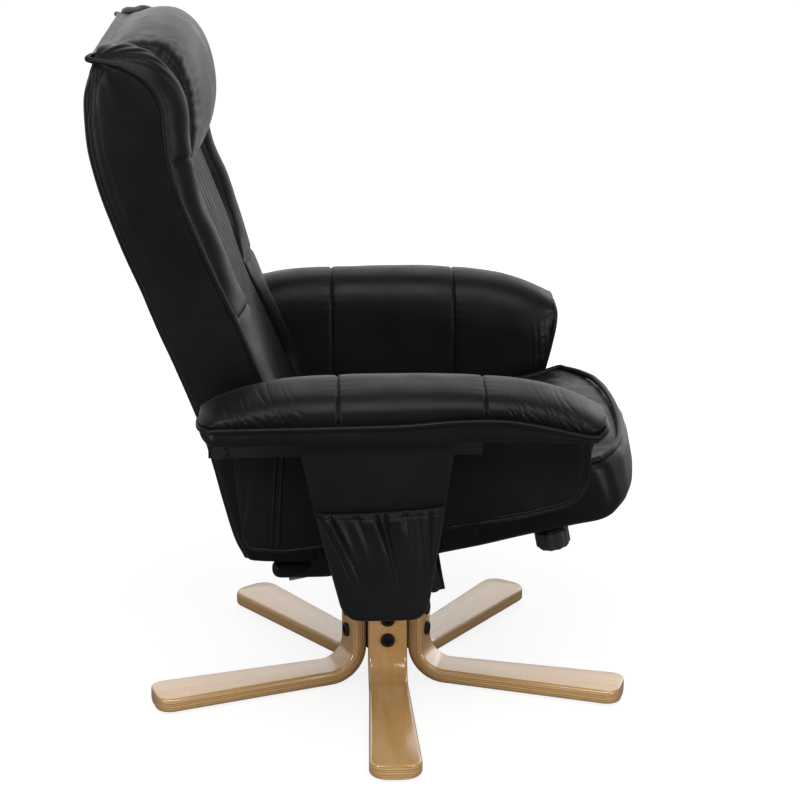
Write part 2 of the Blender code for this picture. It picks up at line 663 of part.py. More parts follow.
def build_seat_cushion():
    inner = [SEAT_HALF * k / 4 for k in (-3, -2, -1, 0, 1, 2, 3)]
    edge = SEAT_HALF - SEAT_EDGE
    spots = [(-SEAT_HALF, SEAT_EDGE), (-edge, 0)] + [(y, 0) for y in inner]
    spots += [(edge, 0), (SEAT_HALF, SEAT_EDGE)]
    cushion = loft([seat_section(y, inset) for y, inset in spots], 40)
    front = CROSS_FRONT_U + TUBE_WIDTH / 2 + FIT
    rear = CROSS_REAR_U - TUBE_WIDTH / 2 - FIT
    ceiling = BOARD_N + BOARD_THICKNESS + FIT
    below = SEAT_FLAT_Z - SEAT_LIP_Z
    recess = [(2 * rear, below), (front, below), (front, ceiling), (rear, ceiling),
              (rear, 3 * ceiling), (2 * rear, 3 * ceiling)]
    room = SEAT_HALF - SEAT_WALL
    strut_reach = CROSS_FRONT_U + STRUT_END + STRUT_TRAVEL + RUN
    strut_room = STRUT_WIDTH / 2 + RUN
    strut_notch = box(seat_point, (front - FIT, strut_reach), (LOCK_Y - strut_room, LOCK_Y + strut_room),
                      (below, STRUT_N + STRUT_THICKNESS / 2 + RUN))
    cushion = cut(cushion, prism(recess, seat_side, -room, room), strut_notch)
    add("seat_cushion", cushion, "seat", LEATHER)


# Recline hinges
def build_hinges():
    foot_u = CROSS_REAR_U - TUBE_WIDTH / 2 - FIT
    bracket = eye_outline((HINGE_U, HINGE_N), HINGE_EYE,
                          ((foot_u, FRAME_RISE), (foot_u, FRAME_RISE + TUBE_HEIGHT)))
    foot_s = RAIL_BOTTOM_S - FIT
    plate = eye_outline((HINGE_S, HINGE_T), HINGE_EYE,
                        ((foot_s, POST_T - HALF_TUBE), (foot_s, POST_T + HALF_TUBE)))
    hole = bore(HINGE_X, HINGE_Z, PIN_RADIUS + FIT)
    plate_y = HINGE_Y + HINGE_PLATE + RUN
    pin = [(PIN_RADIUS, HINGE_Y - PIN_HEAD), (PIN_RADIUS, plate_y + HINGE_PLATE + FIT),
           (PIN_HEAD_RADIUS, plate_y + HINGE_PLATE + FIT),
           (PIN_HEAD_RADIUS, plate_y + HINGE_PLATE + FIT + PIN_HEAD)]
    for side, sign in SIDES.items():
        ear = prism(bracket, seat_side, sign * HINGE_Y, sign * (HINGE_Y + HINGE_PLATE))
        add("hinge_bracket_" + side, cut(ear, hole.copy()), "seat", BLACK_STEEL)
        ear = prism(plate, back_side, sign * plate_y, sign * (plate_y + HINGE_PLATE))
        add("back_hinge_plate_" + side, cut(ear, hole.copy()), "backrest", BLACK_STEEL)
        add("hinge_pin_" + side, turned(pin, (HINGE_X, 0, HINGE_Z), (0, sign, 0), 16), "seat", GREY_STEEL)


# Recline lock
def build_lock():
    top, bottom = STRUT_N + STRUT_THICKNESS / 2, STRUT_N - STRUT_THICKNESS / 2
    low_y, high_y = LUG_Y - STRUT_WIDTH / 2, LUG_Y + STRUT_WIDTH / 2
    seat_up = seat_point(0, 0, 1) - seat_point(0, 0, 0)
    half = TUBE_WIDTH / 2
    clamp = (CROSS_FRONT_U - half, CROSS_FRONT_U + half)
    axis_foot = seat_point(CROSS_FRONT_U, LOCK_Y, 0)
    hole = turned([(LOCK_SPINDLE_RADIUS + FIT, -1), (LOCK_SPINDLE_RADIUS + FIT, 1)], axis_foot, seat_up, 16)
    bracket = box(seat_point, clamp, (LOCK_Y - LOCK_BRACKET_HALF, LOCK_Y + LOCK_BRACKET_HALF),
                  (top + FIT, FRAME_RISE - FIT))
    add("lock_bracket", cut(bracket, hole), "seat", BLACK_STEEL)

    boss_top, knob_top = bottom - FIT, -RUN
    knob_bottom = knob_top - KNOB_HEIGHT
    socket = knob_top - KNOB_SOCKET
    spindle = turned([(LOCK_SPINDLE_RADIUS, socket), (LOCK_SPINDLE_RADIUS, FRAME_RISE - 2 * FIT)],
                     axis_foot, seat_up, 16)
    add("lock_spindle", spindle, "seat", GREY_STEEL)
    boss_inset = KNOB_RADIUS - KNOB_BOSS
    knob = loft([knob_ring(boss_top, boss_inset), knob_ring(knob_top, boss_inset),
                 knob_ring(knob_top, KNOB_CHAMFER), knob_ring(knob_top - KNOB_CHAMFER, 0),
                 knob_ring(knob_bottom + KNOB_CHAMFER, 0), knob_ring(knob_bottom, KNOB_CHAMFER)])
    blind = turned([(LOCK_SPINDLE_RADIUS + FIT, socket - FIT), (LOCK_SPINDLE_RADIUS + FIT, 1)],
                   axis_foot, seat_up, 16)
    add("lock_knob", cut(knob, blind), "lock_knob", BLACK_PLASTIC)

    eye_foot = seat_point(LUG_PIN_U, 0, STRUT_N)
    eye = turned([(STRUT_EYE, low_y + FIT), (STRUT_EYE, high_y - FIT)], eye_foot, (0, 1, 0), 16)
    outer_y, inner_y = LOCK_Y - STRUT_WIDTH / 2, LOCK_Y + STRUT_WIDTH / 2
    crank_rear, crank_front = STRUT_CRANK_U
    end = CROSS_FRONT_U + STRUT_END
    outline = [(LUG_PIN_U, high_y), (LUG_PIN_U, low_y), (crank_rear, low_y), (crank_rear, outer_y),
               (end, outer_y), (end, inner_y), (crank_front, inner_y), (crank_front, high_y)]
    bar = prism(outline, seat_point, bottom, top)
    play = LUG_PIN_RISE / 2 + 2 * FIT
    slot_half = LOCK_SPINDLE_RADIUS + 2 * FIT
    slot_rear = CROSS_FRONT_U - STRUT_TRAVEL - slot_half
    slot_front = CROSS_FRONT_U + slot_half
    slot = rounded([(slot_rear, LOCK_Y - slot_half, slot_half), (slot_front, LOCK_Y - slot_half, slot_half),
                    (slot_front, LOCK_Y + slot_half, slot_half), (slot_rear, LOCK_Y + slot_half, slot_half)])
    strut = cut(join(eye, bar), bore(eye_foot.x, eye_foot.z, LUG_PIN_RADIUS + play),
                prism(slot, seat_point, -1, 1))
    add("lock_strut", strut, "lock_strut", GREY_STEEL)

    pin_n = HINGE_N - LUG_LENGTH * math.cos(RECLINE / 2)
    pin = seat_point(LUG_PIN_U, 0, pin_n)
    foot_s = RAIL_BOTTOM_S - FIT
    outline = eye_outline(back_coordinates(pin.x, pin.z), LUG_EYE,
                          ((foot_s, POST_T - HALF_TUBE / 2), (foot_s, POST_T + HALF_TUBE)))
    plate_y = high_y + RUN
    lug = prism(outline, back_side, plate_y, plate_y + LUG_PLATE)
    stem = turned([(LUG_PIN_RADIUS, low_y - RUN), (LUG_PIN_RADIUS, plate_y + LUG_PLATE / 2)],
                  pin, (0, 1, 0), 16)
    add("lock_lug", join(lug, stem), "backrest", BLACK_STEEL)


def knob_ring(n, inset):
    """Lobed ring of the knob at one level."""
    count = 4 * KNOB_LOBES
    ring = []
    for i in range(count):
        angle = math.tau * i / count
        hollow = KNOB_LOBE_DEPTH * (1 - math.cos(KNOB_LOBES * angle)) / 2
        radius = KNOB_RADIUS - inset - hollow
        ring.append(seat_point(CROSS_FRONT_U + radius * math.cos(angle),
                               LOCK_Y + radius * math.sin(angle), n))
    return ring


# Backrest: casing, frame, cushion and pillow
RIM = spline(RIM_LINE, 2)
REAR = spline(REAR_LINE, 2)


def casing_section(y):
    """Side view of the casing, its rear edge drawn in near the sides."""
    q = max(abs(y) - (BACK_HALF - BACK_EDGE), 0.0) / BACK_EDGE
    draw = BACK_EDGE * (1 - math.sqrt(max(1 - q * q, 0.0)))
    top = REAR_LINE[-1][0]
    outline = [(s, t + draw * min(1.0, (top - s) / (4 * BACK_EDGE))) for s, t in REAR]
    return [back_point(s, y, t) for s, t in outline + RIM[::-1]]


def build_back_frame():
    inner = BACK_HALF - BACK_WALL
    edges = [BACK_HALF - BACK_EDGE * (1 - q) for q in (0.0, 0.5, 0.85, 1.0)]
    spots = [-y for y in reversed(edges)] + edges
    wall = [(s, t + BACK_WALL) for s, t in REAR if s <= RAIL_TOP_S + 2 * TUBE_WIDTH]
    deep = 3 * BACK_WALL
    tray = [(wall[0][0] - deep, wall[0][1])] + wall
    tray += [(wall[-1][0], 3 * deep), (wall[0][0] - deep, 3 * deep)]
    casing = cut(loft([casing_section(y) for y in spots], 40), prism(tray, back_side, -inner, inner),
                 bore(ARM_PIVOT_X, ARM_PIVOT_Z, STUD_RADIUS + FIT))
    add("back_shell", casing, "backrest", LEATHER)
    depth = (POST_T - HALF_TUBE, POST_T + HALF_TUBE)
    half = TUBE_WIDTH / 2
    post_s = (RAIL_BOTTOM_S + TUBE_WIDTH + FIT, RAIL_TOP_S - FIT)
    for side, sign in SIDES.items():
        post = box(back_point, post_s, (sign * POST_Y - half, sign * POST_Y + half), depth)
        add("back_post_" + side, post, "backrest", BLACK_STEEL)
        stud = [(STUD_RADIUS, POST_Y + half + FIT), (STUD_RADIUS, BAR_OUTER + FIT),
                (STUD_HEAD_RADIUS, BAR_OUTER + FIT), (STUD_HEAD_RADIUS, BAR_OUTER + FIT + STUD_HEAD)]
        add("arm_stud_" + side, turned(stud, (ARM_PIVOT_X, 0, ARM_PIVOT_Z), (0, sign, 0), 16),
            "backrest", BLACK_STEEL)
    for level, low in (("bottom", RAIL_BOTTOM_S), ("top", RAIL_TOP_S)):
        rail = box(back_point, (low, low + TUBE_WIDTH), (-inner + FIT, inner - FIT), depth)
        add("back_rail_" + level, rail, "backrest", BLACK_STEEL)


def cushion_front(s, rim, y_share, rib):
    """Front of the back cushion: ribbed panel, side bolsters, flat behind the pillow."""
    rest = rim + PILLOW_REST
    bolster = max(interpolate(BOLSTER_LINE, s), rest)
    panel = max(min(PANEL_T, bolster), rest)
    if s >= PILLOW_FOOT_S:
        panel = bolster = rest
        rib = 0.0
    if y_share <= 0:
        return panel - RIB_DEPTH * rib
    if y_share <= 0.5:
        return panel + (bolster - panel) * math.sin(math.pi * y_share)
    edge = rim + CUSHION_ROLL
    return edge + (bolster - edge) * math.sqrt(max(1 - (2 * y_share - 1) ** 2, 0.0))


def cushion_row(s, rim):
    """Loop across the back: ribs in the middle, a bolster on each side, flat behind."""
    half = interpolate(PANEL_HALF_LINE, s)
    shares = (0.25, 0.5, 0.75, 0.92, 1.0)
    right = [(-half - q * (CUSHION_HALF - half), q, 0.0) for q in reversed(shares)]
    ribs = [(half * (k / RIBS - 1), 0.0, (k + 1) % 2) for k in range(2 * RIBS + 1)]
    left = [(half + q * (CUSHION_HALF - half), q, 0.0) for q in shares]
    loop = [back_point(s, y, cushion_front(s, rim, q, rib)) for y, q, rib in right + ribs + left]
    return loop + [back_point(s, CUSHION_HALF, rim + FIT), back_point(s, -CUSHION_HALF, rim + FIT)]


def build_back_cushion():
    rows = [(CUSHION_FOOT_S, level(RIM, CUSHION_FOOT_S))]
    rows += [(s, t) for s, t in RIM if CUSHION_FOOT_S + FIT < s <= CUSHION_TOP_S + FIT]
    add("back_cushion", loft([cushion_row(s, t) for s, t in rows], 40), "backrest", LEATHER)


def level(line, x):
    """Straight runs between (x, y) points in rising x."""
    for (x0, y0), (x1, y1) in zip(line, line[1:]):
        if x <= x1:
            return y0 + (y1 - y0) * max(x - x0, 0.0) / (x1 - x0)
    return line[-1][1]


def pillow_section(y):
    """Puffy head pillow in side view, shrinking to its rounded ends clear of what it lies on."""
    back = [(s, t + FIT + (PILLOW_REST if s <= CUSHION_TOP_S + FIT else 0.0))
            for s, t in RIM if PILLOW_FOOT_S <= s < RIM_LINE[-1][0] - FIT]
    outline = spline(PILLOW_LINE, 2) + back[::-1]
    q = max(abs(y) - (PILLOW_HALF - PILLOW_END), 0.0) / PILLOW_END
    scale = PILLOW_END_SCALE + (1 - PILLOW_END_SCALE) * math.sqrt(max(1 - q * q, 0.0))
    hub_s = sum(s for s, _ in outline) / len(outline)
    hub_t = sum(t for _, t in outline) / len(outline)
    points = []
    for s, t in outline:
        near_s, near_t = hub_s + (s - hub_s) * scale, hub_t + (t - hub_t) * scale
        lift = 0.0 if scale == 1.0 else PILLOW_LIFT
        points.append(back_point(near_s, y, max(near_t, level(back, near_s) + lift)))
    return points


def build_head_pillow():
    ends = [PILLOW_HALF - PILLOW_END * (1 - q) for q in (0.0, 0.4, 0.7, 0.9, 1.0)]
    spots = [-y for y in reversed(ends)] + [0.0] + ends
    add("head_pillow", loft([pillow_section(y) for y in spots], 40), "backrest", LEATHER)


# Armrests and their linkage
def stadium(first, second, radius, steps=8):
    """Strip with round ends about two centres."""
    start, end = Vector(first), Vector(second)
    along = (end - start).normalized()
    across = Vector((-along.y, along.x))
    points = []
    for centre, way in ((end, 1), (start, -1)):
        for k in range(steps + 1):
            angle = math.pi * (k / steps - 0.5)
            points.append(tuple(centre + radius * way * (along * math.cos(angle) + across * math.sin(angle))))
    return points


def build_links():
    foot, head = (LINK_FOOT_X, HINGE_Z), (LINK_HEAD_X, ARM_PIVOT_Z)
    inner = RAIL_Y + MOUNT_WALL / 2 + RUN
    rail_edge = RAIL_Y + TUBE_WIDTH / 2
    strap_bottom = -FIT - STRAP_THICKNESS
    lug_bottom = FOOT_N - STUD_RADIUS - STRAP_THICKNESS
    strap = [(inner, FRAME_RISE - FIT), (rail_edge, FRAME_RISE - FIT), (rail_edge, -FIT),
             (PANEL_OUTER, -FIT), (PANEL_OUTER, lug_bottom), (PANEL_OUTER - STRAP_LUG, lug_bottom),
             (PANEL_OUTER - STRAP_LUG, strap_bottom), (inner, strap_bottom)]
    tip = LINK_INNER + LINK_THICKNESS + RUN / 2
    for side, sign in SIDES.items():
        bracket = loft([[seat_point(u, sign * v, n) for v, n in strap]
                        for u in (FOOT_U - STRAP_WIDTH / 2, FOOT_U + STRAP_WIDTH / 2)])
        stud = turned([(STUD_RADIUS, PANEL_OUTER - STRAP_LUG / 2), (STUD_RADIUS, tip)],
                      (LINK_FOOT_X, 0, HINGE_Z), (0, sign, 0), 16)
        add("link_bracket_" + side, join(bracket, stud), "seat", BLACK_STEEL)
        link = prism(stadium(foot, head, LINK_WIDTH / 2), side_point,
                     sign * LINK_INNER, sign * (LINK_INNER + LINK_THICKNESS))
        link = cut(link, *(bore(x, z, STUD_RADIUS + FIT) for x, z in (foot, head)))
        add("arm_link_" + side, link, "arm_link_" + side, BLACK_STEEL)


def bar_mesh(sign):
    """Angle bar under the arm board, with the stud that the link's head turns on."""
    top = ARM_BOARD_Z - FIT
    ledge = top - BAR_THICKNESS / 2
    corners = ((BAR_INNER, BAR_BOTTOM_Z), (BAR_OUTER, BAR_BOTTOM_Z), (BAR_OUTER, ledge),
               (BAR_OUTER + BAR_FLANGE, ledge), (BAR_OUTER + BAR_FLANGE, top), (BAR_INNER, top))
    bar = loft([[Vector((x, sign * y, z)) for y, z in corners]
                for x in (ARM_PIVOT_X - BAR_TAIL, BAR_FRONT)])
    stud = turned([(STUD_RADIUS, LINK_INNER - RUN / 2), (STUD_RADIUS, BAR_INNER + BAR_THICKNESS / 2)],
                  (LINK_HEAD_X, 0, ARM_PIVOT_Z), (0, sign, 0), 16)
    return cut(join(bar, stud), bore(ARM_PIVOT_X, ARM_PIVOT_Z, STUD_RADIUS + FIT))


def pad_section(x, sign, over_board, tuck):
    """Section of the arm pad: roll over the board, hem outside, cover down the inside."""
    top = interpolate(PAD_TOP_LINE, x)
    low = interpolate(PAD_COVER_LINE, x)
    height = top - PAD_HEM_Z
    outer = ARM_BOARD_OUTER + PAD_SKIN - tuck
    inner = ARM_INNER + tuck / 2
    width = outer - inner
    room_z = ARM_BOARD_Z + ARM_BOARD_THICKNESS + FIT if over_board else PAD_HEM_Z
    room_y = ARM_BOARD_OUTER + FIT if over_board else outer - PAD_SKIN
    roll = ((0.00, 0.00), (-0.02, 0.30), (0.02, 0.72), (0.13, 0.90), (0.34, 1.00), (0.62, 0.985),
            (0.85, 0.86), (0.97, 0.55))
    points = [(outer - width * a, PAD_HEM_Z + height * b) for a, b in roll]
    points += [(inner, PAD_HEM_Z - FIT), (inner, low), (ARM_INNER + ARM_COVER, low),
               (ARM_INNER + ARM_COVER, room_z), (room_y, room_z), (outer - PAD_SKIN / 2, PAD_HEM_Z)]
    if over_board:
        points[-1] = (room_y, PAD_HEM_Z)
    else:
        points[-2] = ((inner + outer) / 2, PAD_HEM_Z)
    return [Vector((x, sign * y, z)) for y, z in points]


def pad_mesh(sign):
    closed_rear = ARM_BOARD_REAR - FIT
    closed_front = ARM_BOARD_FRONT + FIT
    spots = [(PAD_REAR, False, PAD_END_TUCK), (closed_rear - FIT, False, 0.0), (closed_rear, True, 0.0)]
    steps = 11
    along = [closed_rear + (closed_front - closed_rear) * k / steps for k in range(1, steps)]
    along += [x for x, _ in PAD_COVER_LINE if closed_rear < x < closed_front]
    spots += [(x, True, 0.0) for x in sorted(along)]
    spots += [(closed_front, True, 0.0), (closed_front + FIT, False, 0.0),
              ((closed_front + PAD_FRONT) / 2, False, PAD_END_TUCK / 3), (PAD_FRONT, False, PAD_END_TUCK)]
    return loft([pad_section(x, sign, *how) for x, *how in spots], 40)


def pocket_mesh():
    """Pocket on the right: back flap up to the board, front wall up to the mouth, hollow between."""
    top = ARM_BOARD_Z - FIT
    (top_a, top_b), (low_a, low_b) = POCKET_TOP_X, POCKET_BOTTOM_X
    outer_y = POCKET_INNER + 2 * POCKET_WALL + POCKET_ROOM
    outline = rounded([(top_a, top, 0), (low_a, POCKET_BOTTOM_Z, POCKET_ROUND),
                       (low_b, POCKET_BOTTOM_Z, POCKET_ROUND), (top_b, top, 0)])
    bag = prism(outline, side_point, -POCKET_INNER, -outer_y)
    hollow = rounded([(top_a + POCKET_WALL, top, 0),
                      (low_a + POCKET_WALL, POCKET_BOTTOM_Z + POCKET_WALL, POCKET_ROUND),
                      (low_b - POCKET_WALL, POCKET_BOTTOM_Z + POCKET_WALL, POCKET_ROUND),
                      (top_b - POCKET_WALL, top, 0)])
    back_y = POCKET_INNER + POCKET_WALL
    room = prism(hollow, side_point, -back_y, -back_y - POCKET_ROOM)
    above = box(side_point, (2 * top_a, 2 * top_b), (POCKET_MOUTH_Z, 2 * top), (-back_y, -2 * outer_y))
    return cut(bag, room, above)


def build_armrests():
    top = ARM_BOARD_Z - FIT
    panel = rounded([(ARM_PANEL_CORNERS[0][0], top, 0), *ARM_PANEL_CORNERS,
                     (ARM_PANEL_CORNERS[-1][0], top, 0)])
    for side, sign in SIDES.items():
        on_body = "armrest_" + side
        board = rounded([(ARM_BOARD_REAR, sign * ARM_BOARD_INNER, 0),
                         (ARM_BOARD_FRONT, sign * ARM_BOARD_INNER, 0),
                         (ARM_BOARD_FRONT, sign * ARM_BOARD_OUTER, ARM_BOARD_ROUND),
                         (ARM_BOARD_REAR, sign * ARM_BOARD_OUTER, ARM_BOARD_ROUND)])
        add("arm_board_" + side, prism(board, plan_point, ARM_BOARD_Z, ARM_BOARD_Z + ARM_BOARD_THICKNESS),
            on_body, BOARD)
        add("arm_bar_" + side, bar_mesh(sign), on_body, BLACK_STEEL)
        add("arm_pad_" + side, pad_mesh(sign), on_body, LEATHER)
        add("arm_panel_" + side, prism(panel, side_point, sign * PANEL_INNER, sign * PANEL_OUTER),
            on_body, LEATHER)
    add("side_pocket", pocket_mesh(), "armrest_right", CLOTH)


build_base()
build_seat_frame()
build_seat_cushion()
build_hinges()
build_lock()
build_back_frame()
build_back_cushion()
build_head_pillow()
build_links()
build_armrests()
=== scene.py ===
"""Looks of the swivel recliner: leather upholstery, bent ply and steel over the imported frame.

Metres, +Z up, the chair facing +X. Shapes are drawn in the chair's own coordinates, whose Z axis is
the swivel axis, and moved by SWIVEL_X into the frame. "Right" is the sitter's right, at -Y.
"""
import json
import math

import bmesh
import bpy
import numpy as np
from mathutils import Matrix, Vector, noise


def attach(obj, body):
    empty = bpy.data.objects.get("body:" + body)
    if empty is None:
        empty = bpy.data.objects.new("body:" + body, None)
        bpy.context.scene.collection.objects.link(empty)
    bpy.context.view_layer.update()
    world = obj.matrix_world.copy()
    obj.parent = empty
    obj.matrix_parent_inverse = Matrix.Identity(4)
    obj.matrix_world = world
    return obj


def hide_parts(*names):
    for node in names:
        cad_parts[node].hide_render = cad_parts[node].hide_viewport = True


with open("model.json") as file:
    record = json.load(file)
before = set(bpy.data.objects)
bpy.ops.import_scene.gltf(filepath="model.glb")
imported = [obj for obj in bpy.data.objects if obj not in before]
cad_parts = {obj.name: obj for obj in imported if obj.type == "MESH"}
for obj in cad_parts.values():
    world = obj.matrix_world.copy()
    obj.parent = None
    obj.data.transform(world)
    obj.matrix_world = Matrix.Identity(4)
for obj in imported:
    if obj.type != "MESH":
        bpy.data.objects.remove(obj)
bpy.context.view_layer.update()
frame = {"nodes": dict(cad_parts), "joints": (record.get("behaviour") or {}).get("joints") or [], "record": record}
SWIVEL_X = next(j for j in frame["joints"] if j["name"] == "swivel")["pos_m"][0]
SIDES = {"left": 1, "right": -1}

# Curves, meshes and noise
CURVE_STEPS = 24
READING_STEPS = 60
MERGE_DISTANCE = 0.00002
TINY = 1e-12
MIRROR = np.array((1, -1, 1))

# Stitching and trim
PIPING = 0.0042
PIPING_SIDES = 10
PIPING_UNEVEN = 0.05
PIPING_WAVE = 0.03
SEAM_WIDTH = 0.0013
SEAM_DEPTH = 0.0026
SEAM_DIP = 0.35
SEAM_STATIONS = (-3, -1.6, -0.8, 0, 0.8, 1.6, 3)
SEAM_CLEAR = 3.2
CLOSEST_STATIONS = 0.0006
STITCH_LENGTH = 0.0042
STITCH_PITCH = 0.0060
STITCH_RADIUS = 0.00045
STITCH_PROUD = 1.4

# Cloth run
SWELL_FRAMES = 20
SWELL_START = 0.003
SWELL_WEIGHT = 3750.0

# Base
LEG_COUNT = 5
LEG_REACH = 0.374
LEG_TOP = 0.140
LEG_THICKNESS = 0.022
LEG_HUB_WIDTH = 0.060
LEG_TIP_WIDTH = 0.076
LEG_TIP_ROUND = 0.022
LEG_EDGE = 0.0052
LEG_BEND = 0.036
LEG_BACK = 0.0423
LEG_UNDER = 0.0053
LEG_VENEERS = 6
LEG_GRAIN_SHIFT = 0.3
LEG_CREASE = math.radians(50)
BOLT_HEIGHTS = (0.083, 0.117)
BOLT_HEAD_RADIUS = 0.011
BOLT_HEAD_HEIGHT = 0.005
BOLT_PROFILE = ((0.0, 0.0), (1.0, 0.0), (1.0, 0.62), (0.95, 0.86), (0.84, 1.0), (0.62, 1.0))
BOLT_SOCKET = 0.0055
BOLT_SOCKET_FLOOR = 0.2
BOLT_SIDES = 24
BOLT_CREASE = math.radians(40)

# Bolts at the rear of the arm bars
BAR_FACE = 0.3154
BAR_BOLTS = ((-0.2417, 0.4832), (-0.2357, 0.4725))
BAR_BOLT_SIZE = 0.42

# Seat
SEAT_HALF = 0.238
SEAT_PLANE_Z = 0.272
SEAT_TILT = math.radians(11.1)
SEAT_REAR = -0.172
SEAT_FLAT_Z = 0.254
SEAT_FRONT = 0.356
SEAT_LIP = (0.350, 0.430)
SEAT_DIP = (0.285, 0.413)
SEAT_TOP_REAR = (-0.098, 0.372)
SEAT_SKIRT_Z = 0.281

# Back, in leaning coordinates: s up the back, t forward
BACK_X = -0.178
BACK_Z = 0.296
BACK_LEAN = math.radians(16.5)
BACK_HALF = 0.240
BACK_EDGE = 0.022
REAR_LINE = ((0.000, -0.036), (0.050, -0.041), (0.203, -0.036), (0.393, -0.050), (0.533, -0.060),
             (0.619, -0.057), (0.689, -0.040), (0.734, -0.011))
RIM_LINE = ((-0.031, 0.070), (0.100, 0.070), (0.292, 0.065), (0.417, 0.050), (0.533, 0.040),
            (0.594, 0.045), (0.647, 0.057), (0.687, 0.049), (0.715, 0.024), (0.734, -0.008))
BACK_TOP_S = RIM_LINE[-1][0]


# Curves and grids
def spaced(line, count):
    """Evenly spaced points along a polyline."""
    steps = np.linalg.norm(np.diff(line, axis=0), axis=1)
    run = np.concatenate([[0.0], np.cumsum(steps)])
    where = np.linspace(0.0, run[-1], count)
    return np.stack([np.interp(where, run, line[:, k]) for k in range(line.shape[1])], 1)


def closed(outline, count):
    """Evenly spaced points round a closed outline."""
    return spaced(np.vstack([outline, outline[:1]]), count + 1)[:-1]


def smooth(points, count):
    """Evenly spaced points on a smooth curve through the given ones."""
    p = np.array(points, float)
    ends = np.vstack([2 * p[0] - p[1], p, 2 * p[-1] - p[-2]])
    q = np.linspace(0.0, 1.0, CURVE_STEPS, endpoint=False)[:, None]
    fine = []
    for i in range(len(p) - 1):
        a, b, c, d = ends[i:i + 4]
        fine.append(0.5 * (2 * b + (c - a) * q + (2 * a - 5 * b + 4 * c - d) * q ** 2
                           + (3 * b - a - 3 * c + d) * q ** 3))
    return spaced(np.vstack(fine + [p[-1:]]), count)


def reading(line):
    """Function that reads a smooth line of (x, y) pairs at any x."""
    dense = smooth(line, READING_STEPS * len(line))
    return lambda x: np.interp(x, dense[:, 0], dense[:, 1])


def stations(low, high, step, seams=(), zones=()):
    """Places from low to high, closer together beside seams and in (low, high, step) zones."""
    places = list(np.linspace(low, high, max(int(round((high - low) / step)), 1) + 1))
    for first, last, close in zones:
        places += list(np.arange(first, last, close))
    for seam in seams:
        places = [x for x in places if abs(x - seam) > SEAM_CLEAR * SEAM_WIDTH]
        places += [seam + SEAM_WIDTH * k for k in SEAM_STATIONS]
    places = sorted(x for x in places if low <= x <= high)
    kept = [places[0]]
    for x in places[1:]:
        if x - kept[-1] > CLOSEST_STATIONS:
            kept.append(x)
    return np.array(kept)


def back(s, y, t):
    """Points of the leaning back in chair coordinates."""
    sin, cos = math.sin(BACK_LEAN), math.cos(BACK_LEAN)
    return np.stack(np.broadcast_arrays(BACK_X - s * sin + t * cos, y, BACK_Z + s * cos + t * sin), -1)


def upright(line, y):
    """Points of a line of the side view, at a distance from the chair's middle."""
    return np.column_stack([line[:, 0], np.broadcast_to(y, len(line)), line[:, 1]])


def turned(points, angle):
    """Points turned about the swivel axis."""
    x, y, z = np.moveaxis(np.asarray(points, float), -1, 0)
    sin, cos = math.sin(angle), math.cos(angle)
    return np.stack([x * cos - y * sin, x * sin + y * cos, z], -1)


def unit(vectors):
    """Vectors of length 1."""
    return vectors / np.maximum(np.linalg.norm(vectors, axis=-1, keepdims=True), TINY)


def rising(value, low, high):
    """0 up to low, 1 from high on, straight between."""
    return np.clip((value - low) / (high - low), 0, 1)


def hill(distance, width):
    """1 at no distance, fading to 0 over a few widths."""
    return np.exp(-(distance / width) ** 2)


def field(points, size, seed=0.0):
    """Smooth noise between about -1 and 1, one wave in size metres, one size or one per axis."""
    flat = (points / np.array(size)).reshape(-1, 3) + seed
    return np.array([noise.noise(Vector(p)) for p in flat]).reshape(points.shape[:-1])


def waves(points, *table):
    """Sum of smooth noises, each (height, size, seed)."""
    return sum(height * field(points, size, seed) for height, size, seed in table)


def groove(distance, depth=SEAM_DEPTH):
    """Sewn seam: a narrow valley in a wider soft dip."""
    return -depth * (hill(distance, SEAM_WIDTH) + SEAM_DIP * hill(distance, 4 * SEAM_WIDTH))


def creases(phase):
    """Round folds with sharp valleys, between -1 in a valley and 0 on a fold, one per unit of phase."""
    return np.sqrt(np.abs(np.sin(math.pi * phase))) - 1.0


def bump(x, low, high, soft):
    """1 between low and high, falling to 0 over a soft edge."""
    both = rising(x, low - soft, low) * rising(-x, -high - soft, -high)
    return both * both * (3 - 2 * both)


def normals(rows, around=False):
    """Unit normals of a grid of points, pointing away from its middle."""
    along = np.gradient(rows, axis=0)
    if around:
        across = np.roll(rows, -1, 1) - np.roll(rows, 1, 1)
    else:
        across = np.gradient(rows, axis=1)
    found = unit(np.cross(along, across))
    outward = rows - rows.reshape(-1, 3).mean(0)
    return found * (1 if (found * outward).sum(-1).mean() > 0 else -1)


def loop_normals(loop):
    """Outward unit normals of a closed plane outline that runs anticlockwise."""
    ahead = np.roll(loop, -1, 0) - np.roll(loop, 1, 0)
    return unit(np.stack([ahead[:, 1], -ahead[:, 0]], 1))


# Pieces
def finish_piece(piece, body, material, subdivide=0):
    for polygon in piece.data.polygons:
        polygon.use_smooth = True
    piece.data.materials.append(material)
    if subdivide:
        modifier = piece.modifiers.new("Subdivision", "SUBSURF")
        modifier.levels = subdivide
        modifier.render_levels = subdivide
    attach(piece, body)
    return piece


def mesh_piece(name, points, faces):
    """Object from points in chair coordinates, doubles merged and faces turned outwards."""
    mesh = bpy.data.meshes.new(name)
    shifted = np.asarray(points, float).reshape(-1, 3) + (SWIVEL_X, 0.0, 0.0)
    mesh.from_pydata(shifted.tolist(), [], faces)
    bm = bmesh.new()
    bm.from_mesh(mesh)
    bmesh.ops.remove_doubles(bm, verts=bm.verts, dist=MERGE_DISTANCE)
    bmesh.ops.recalc_face_normals(bm, faces=bm.faces)
    bm.to_mesh(mesh)
    bm.free()
    piece = bpy.data.objects.new(name, mesh)
    bpy.context.scene.collection.objects.link(piece)
    return piece


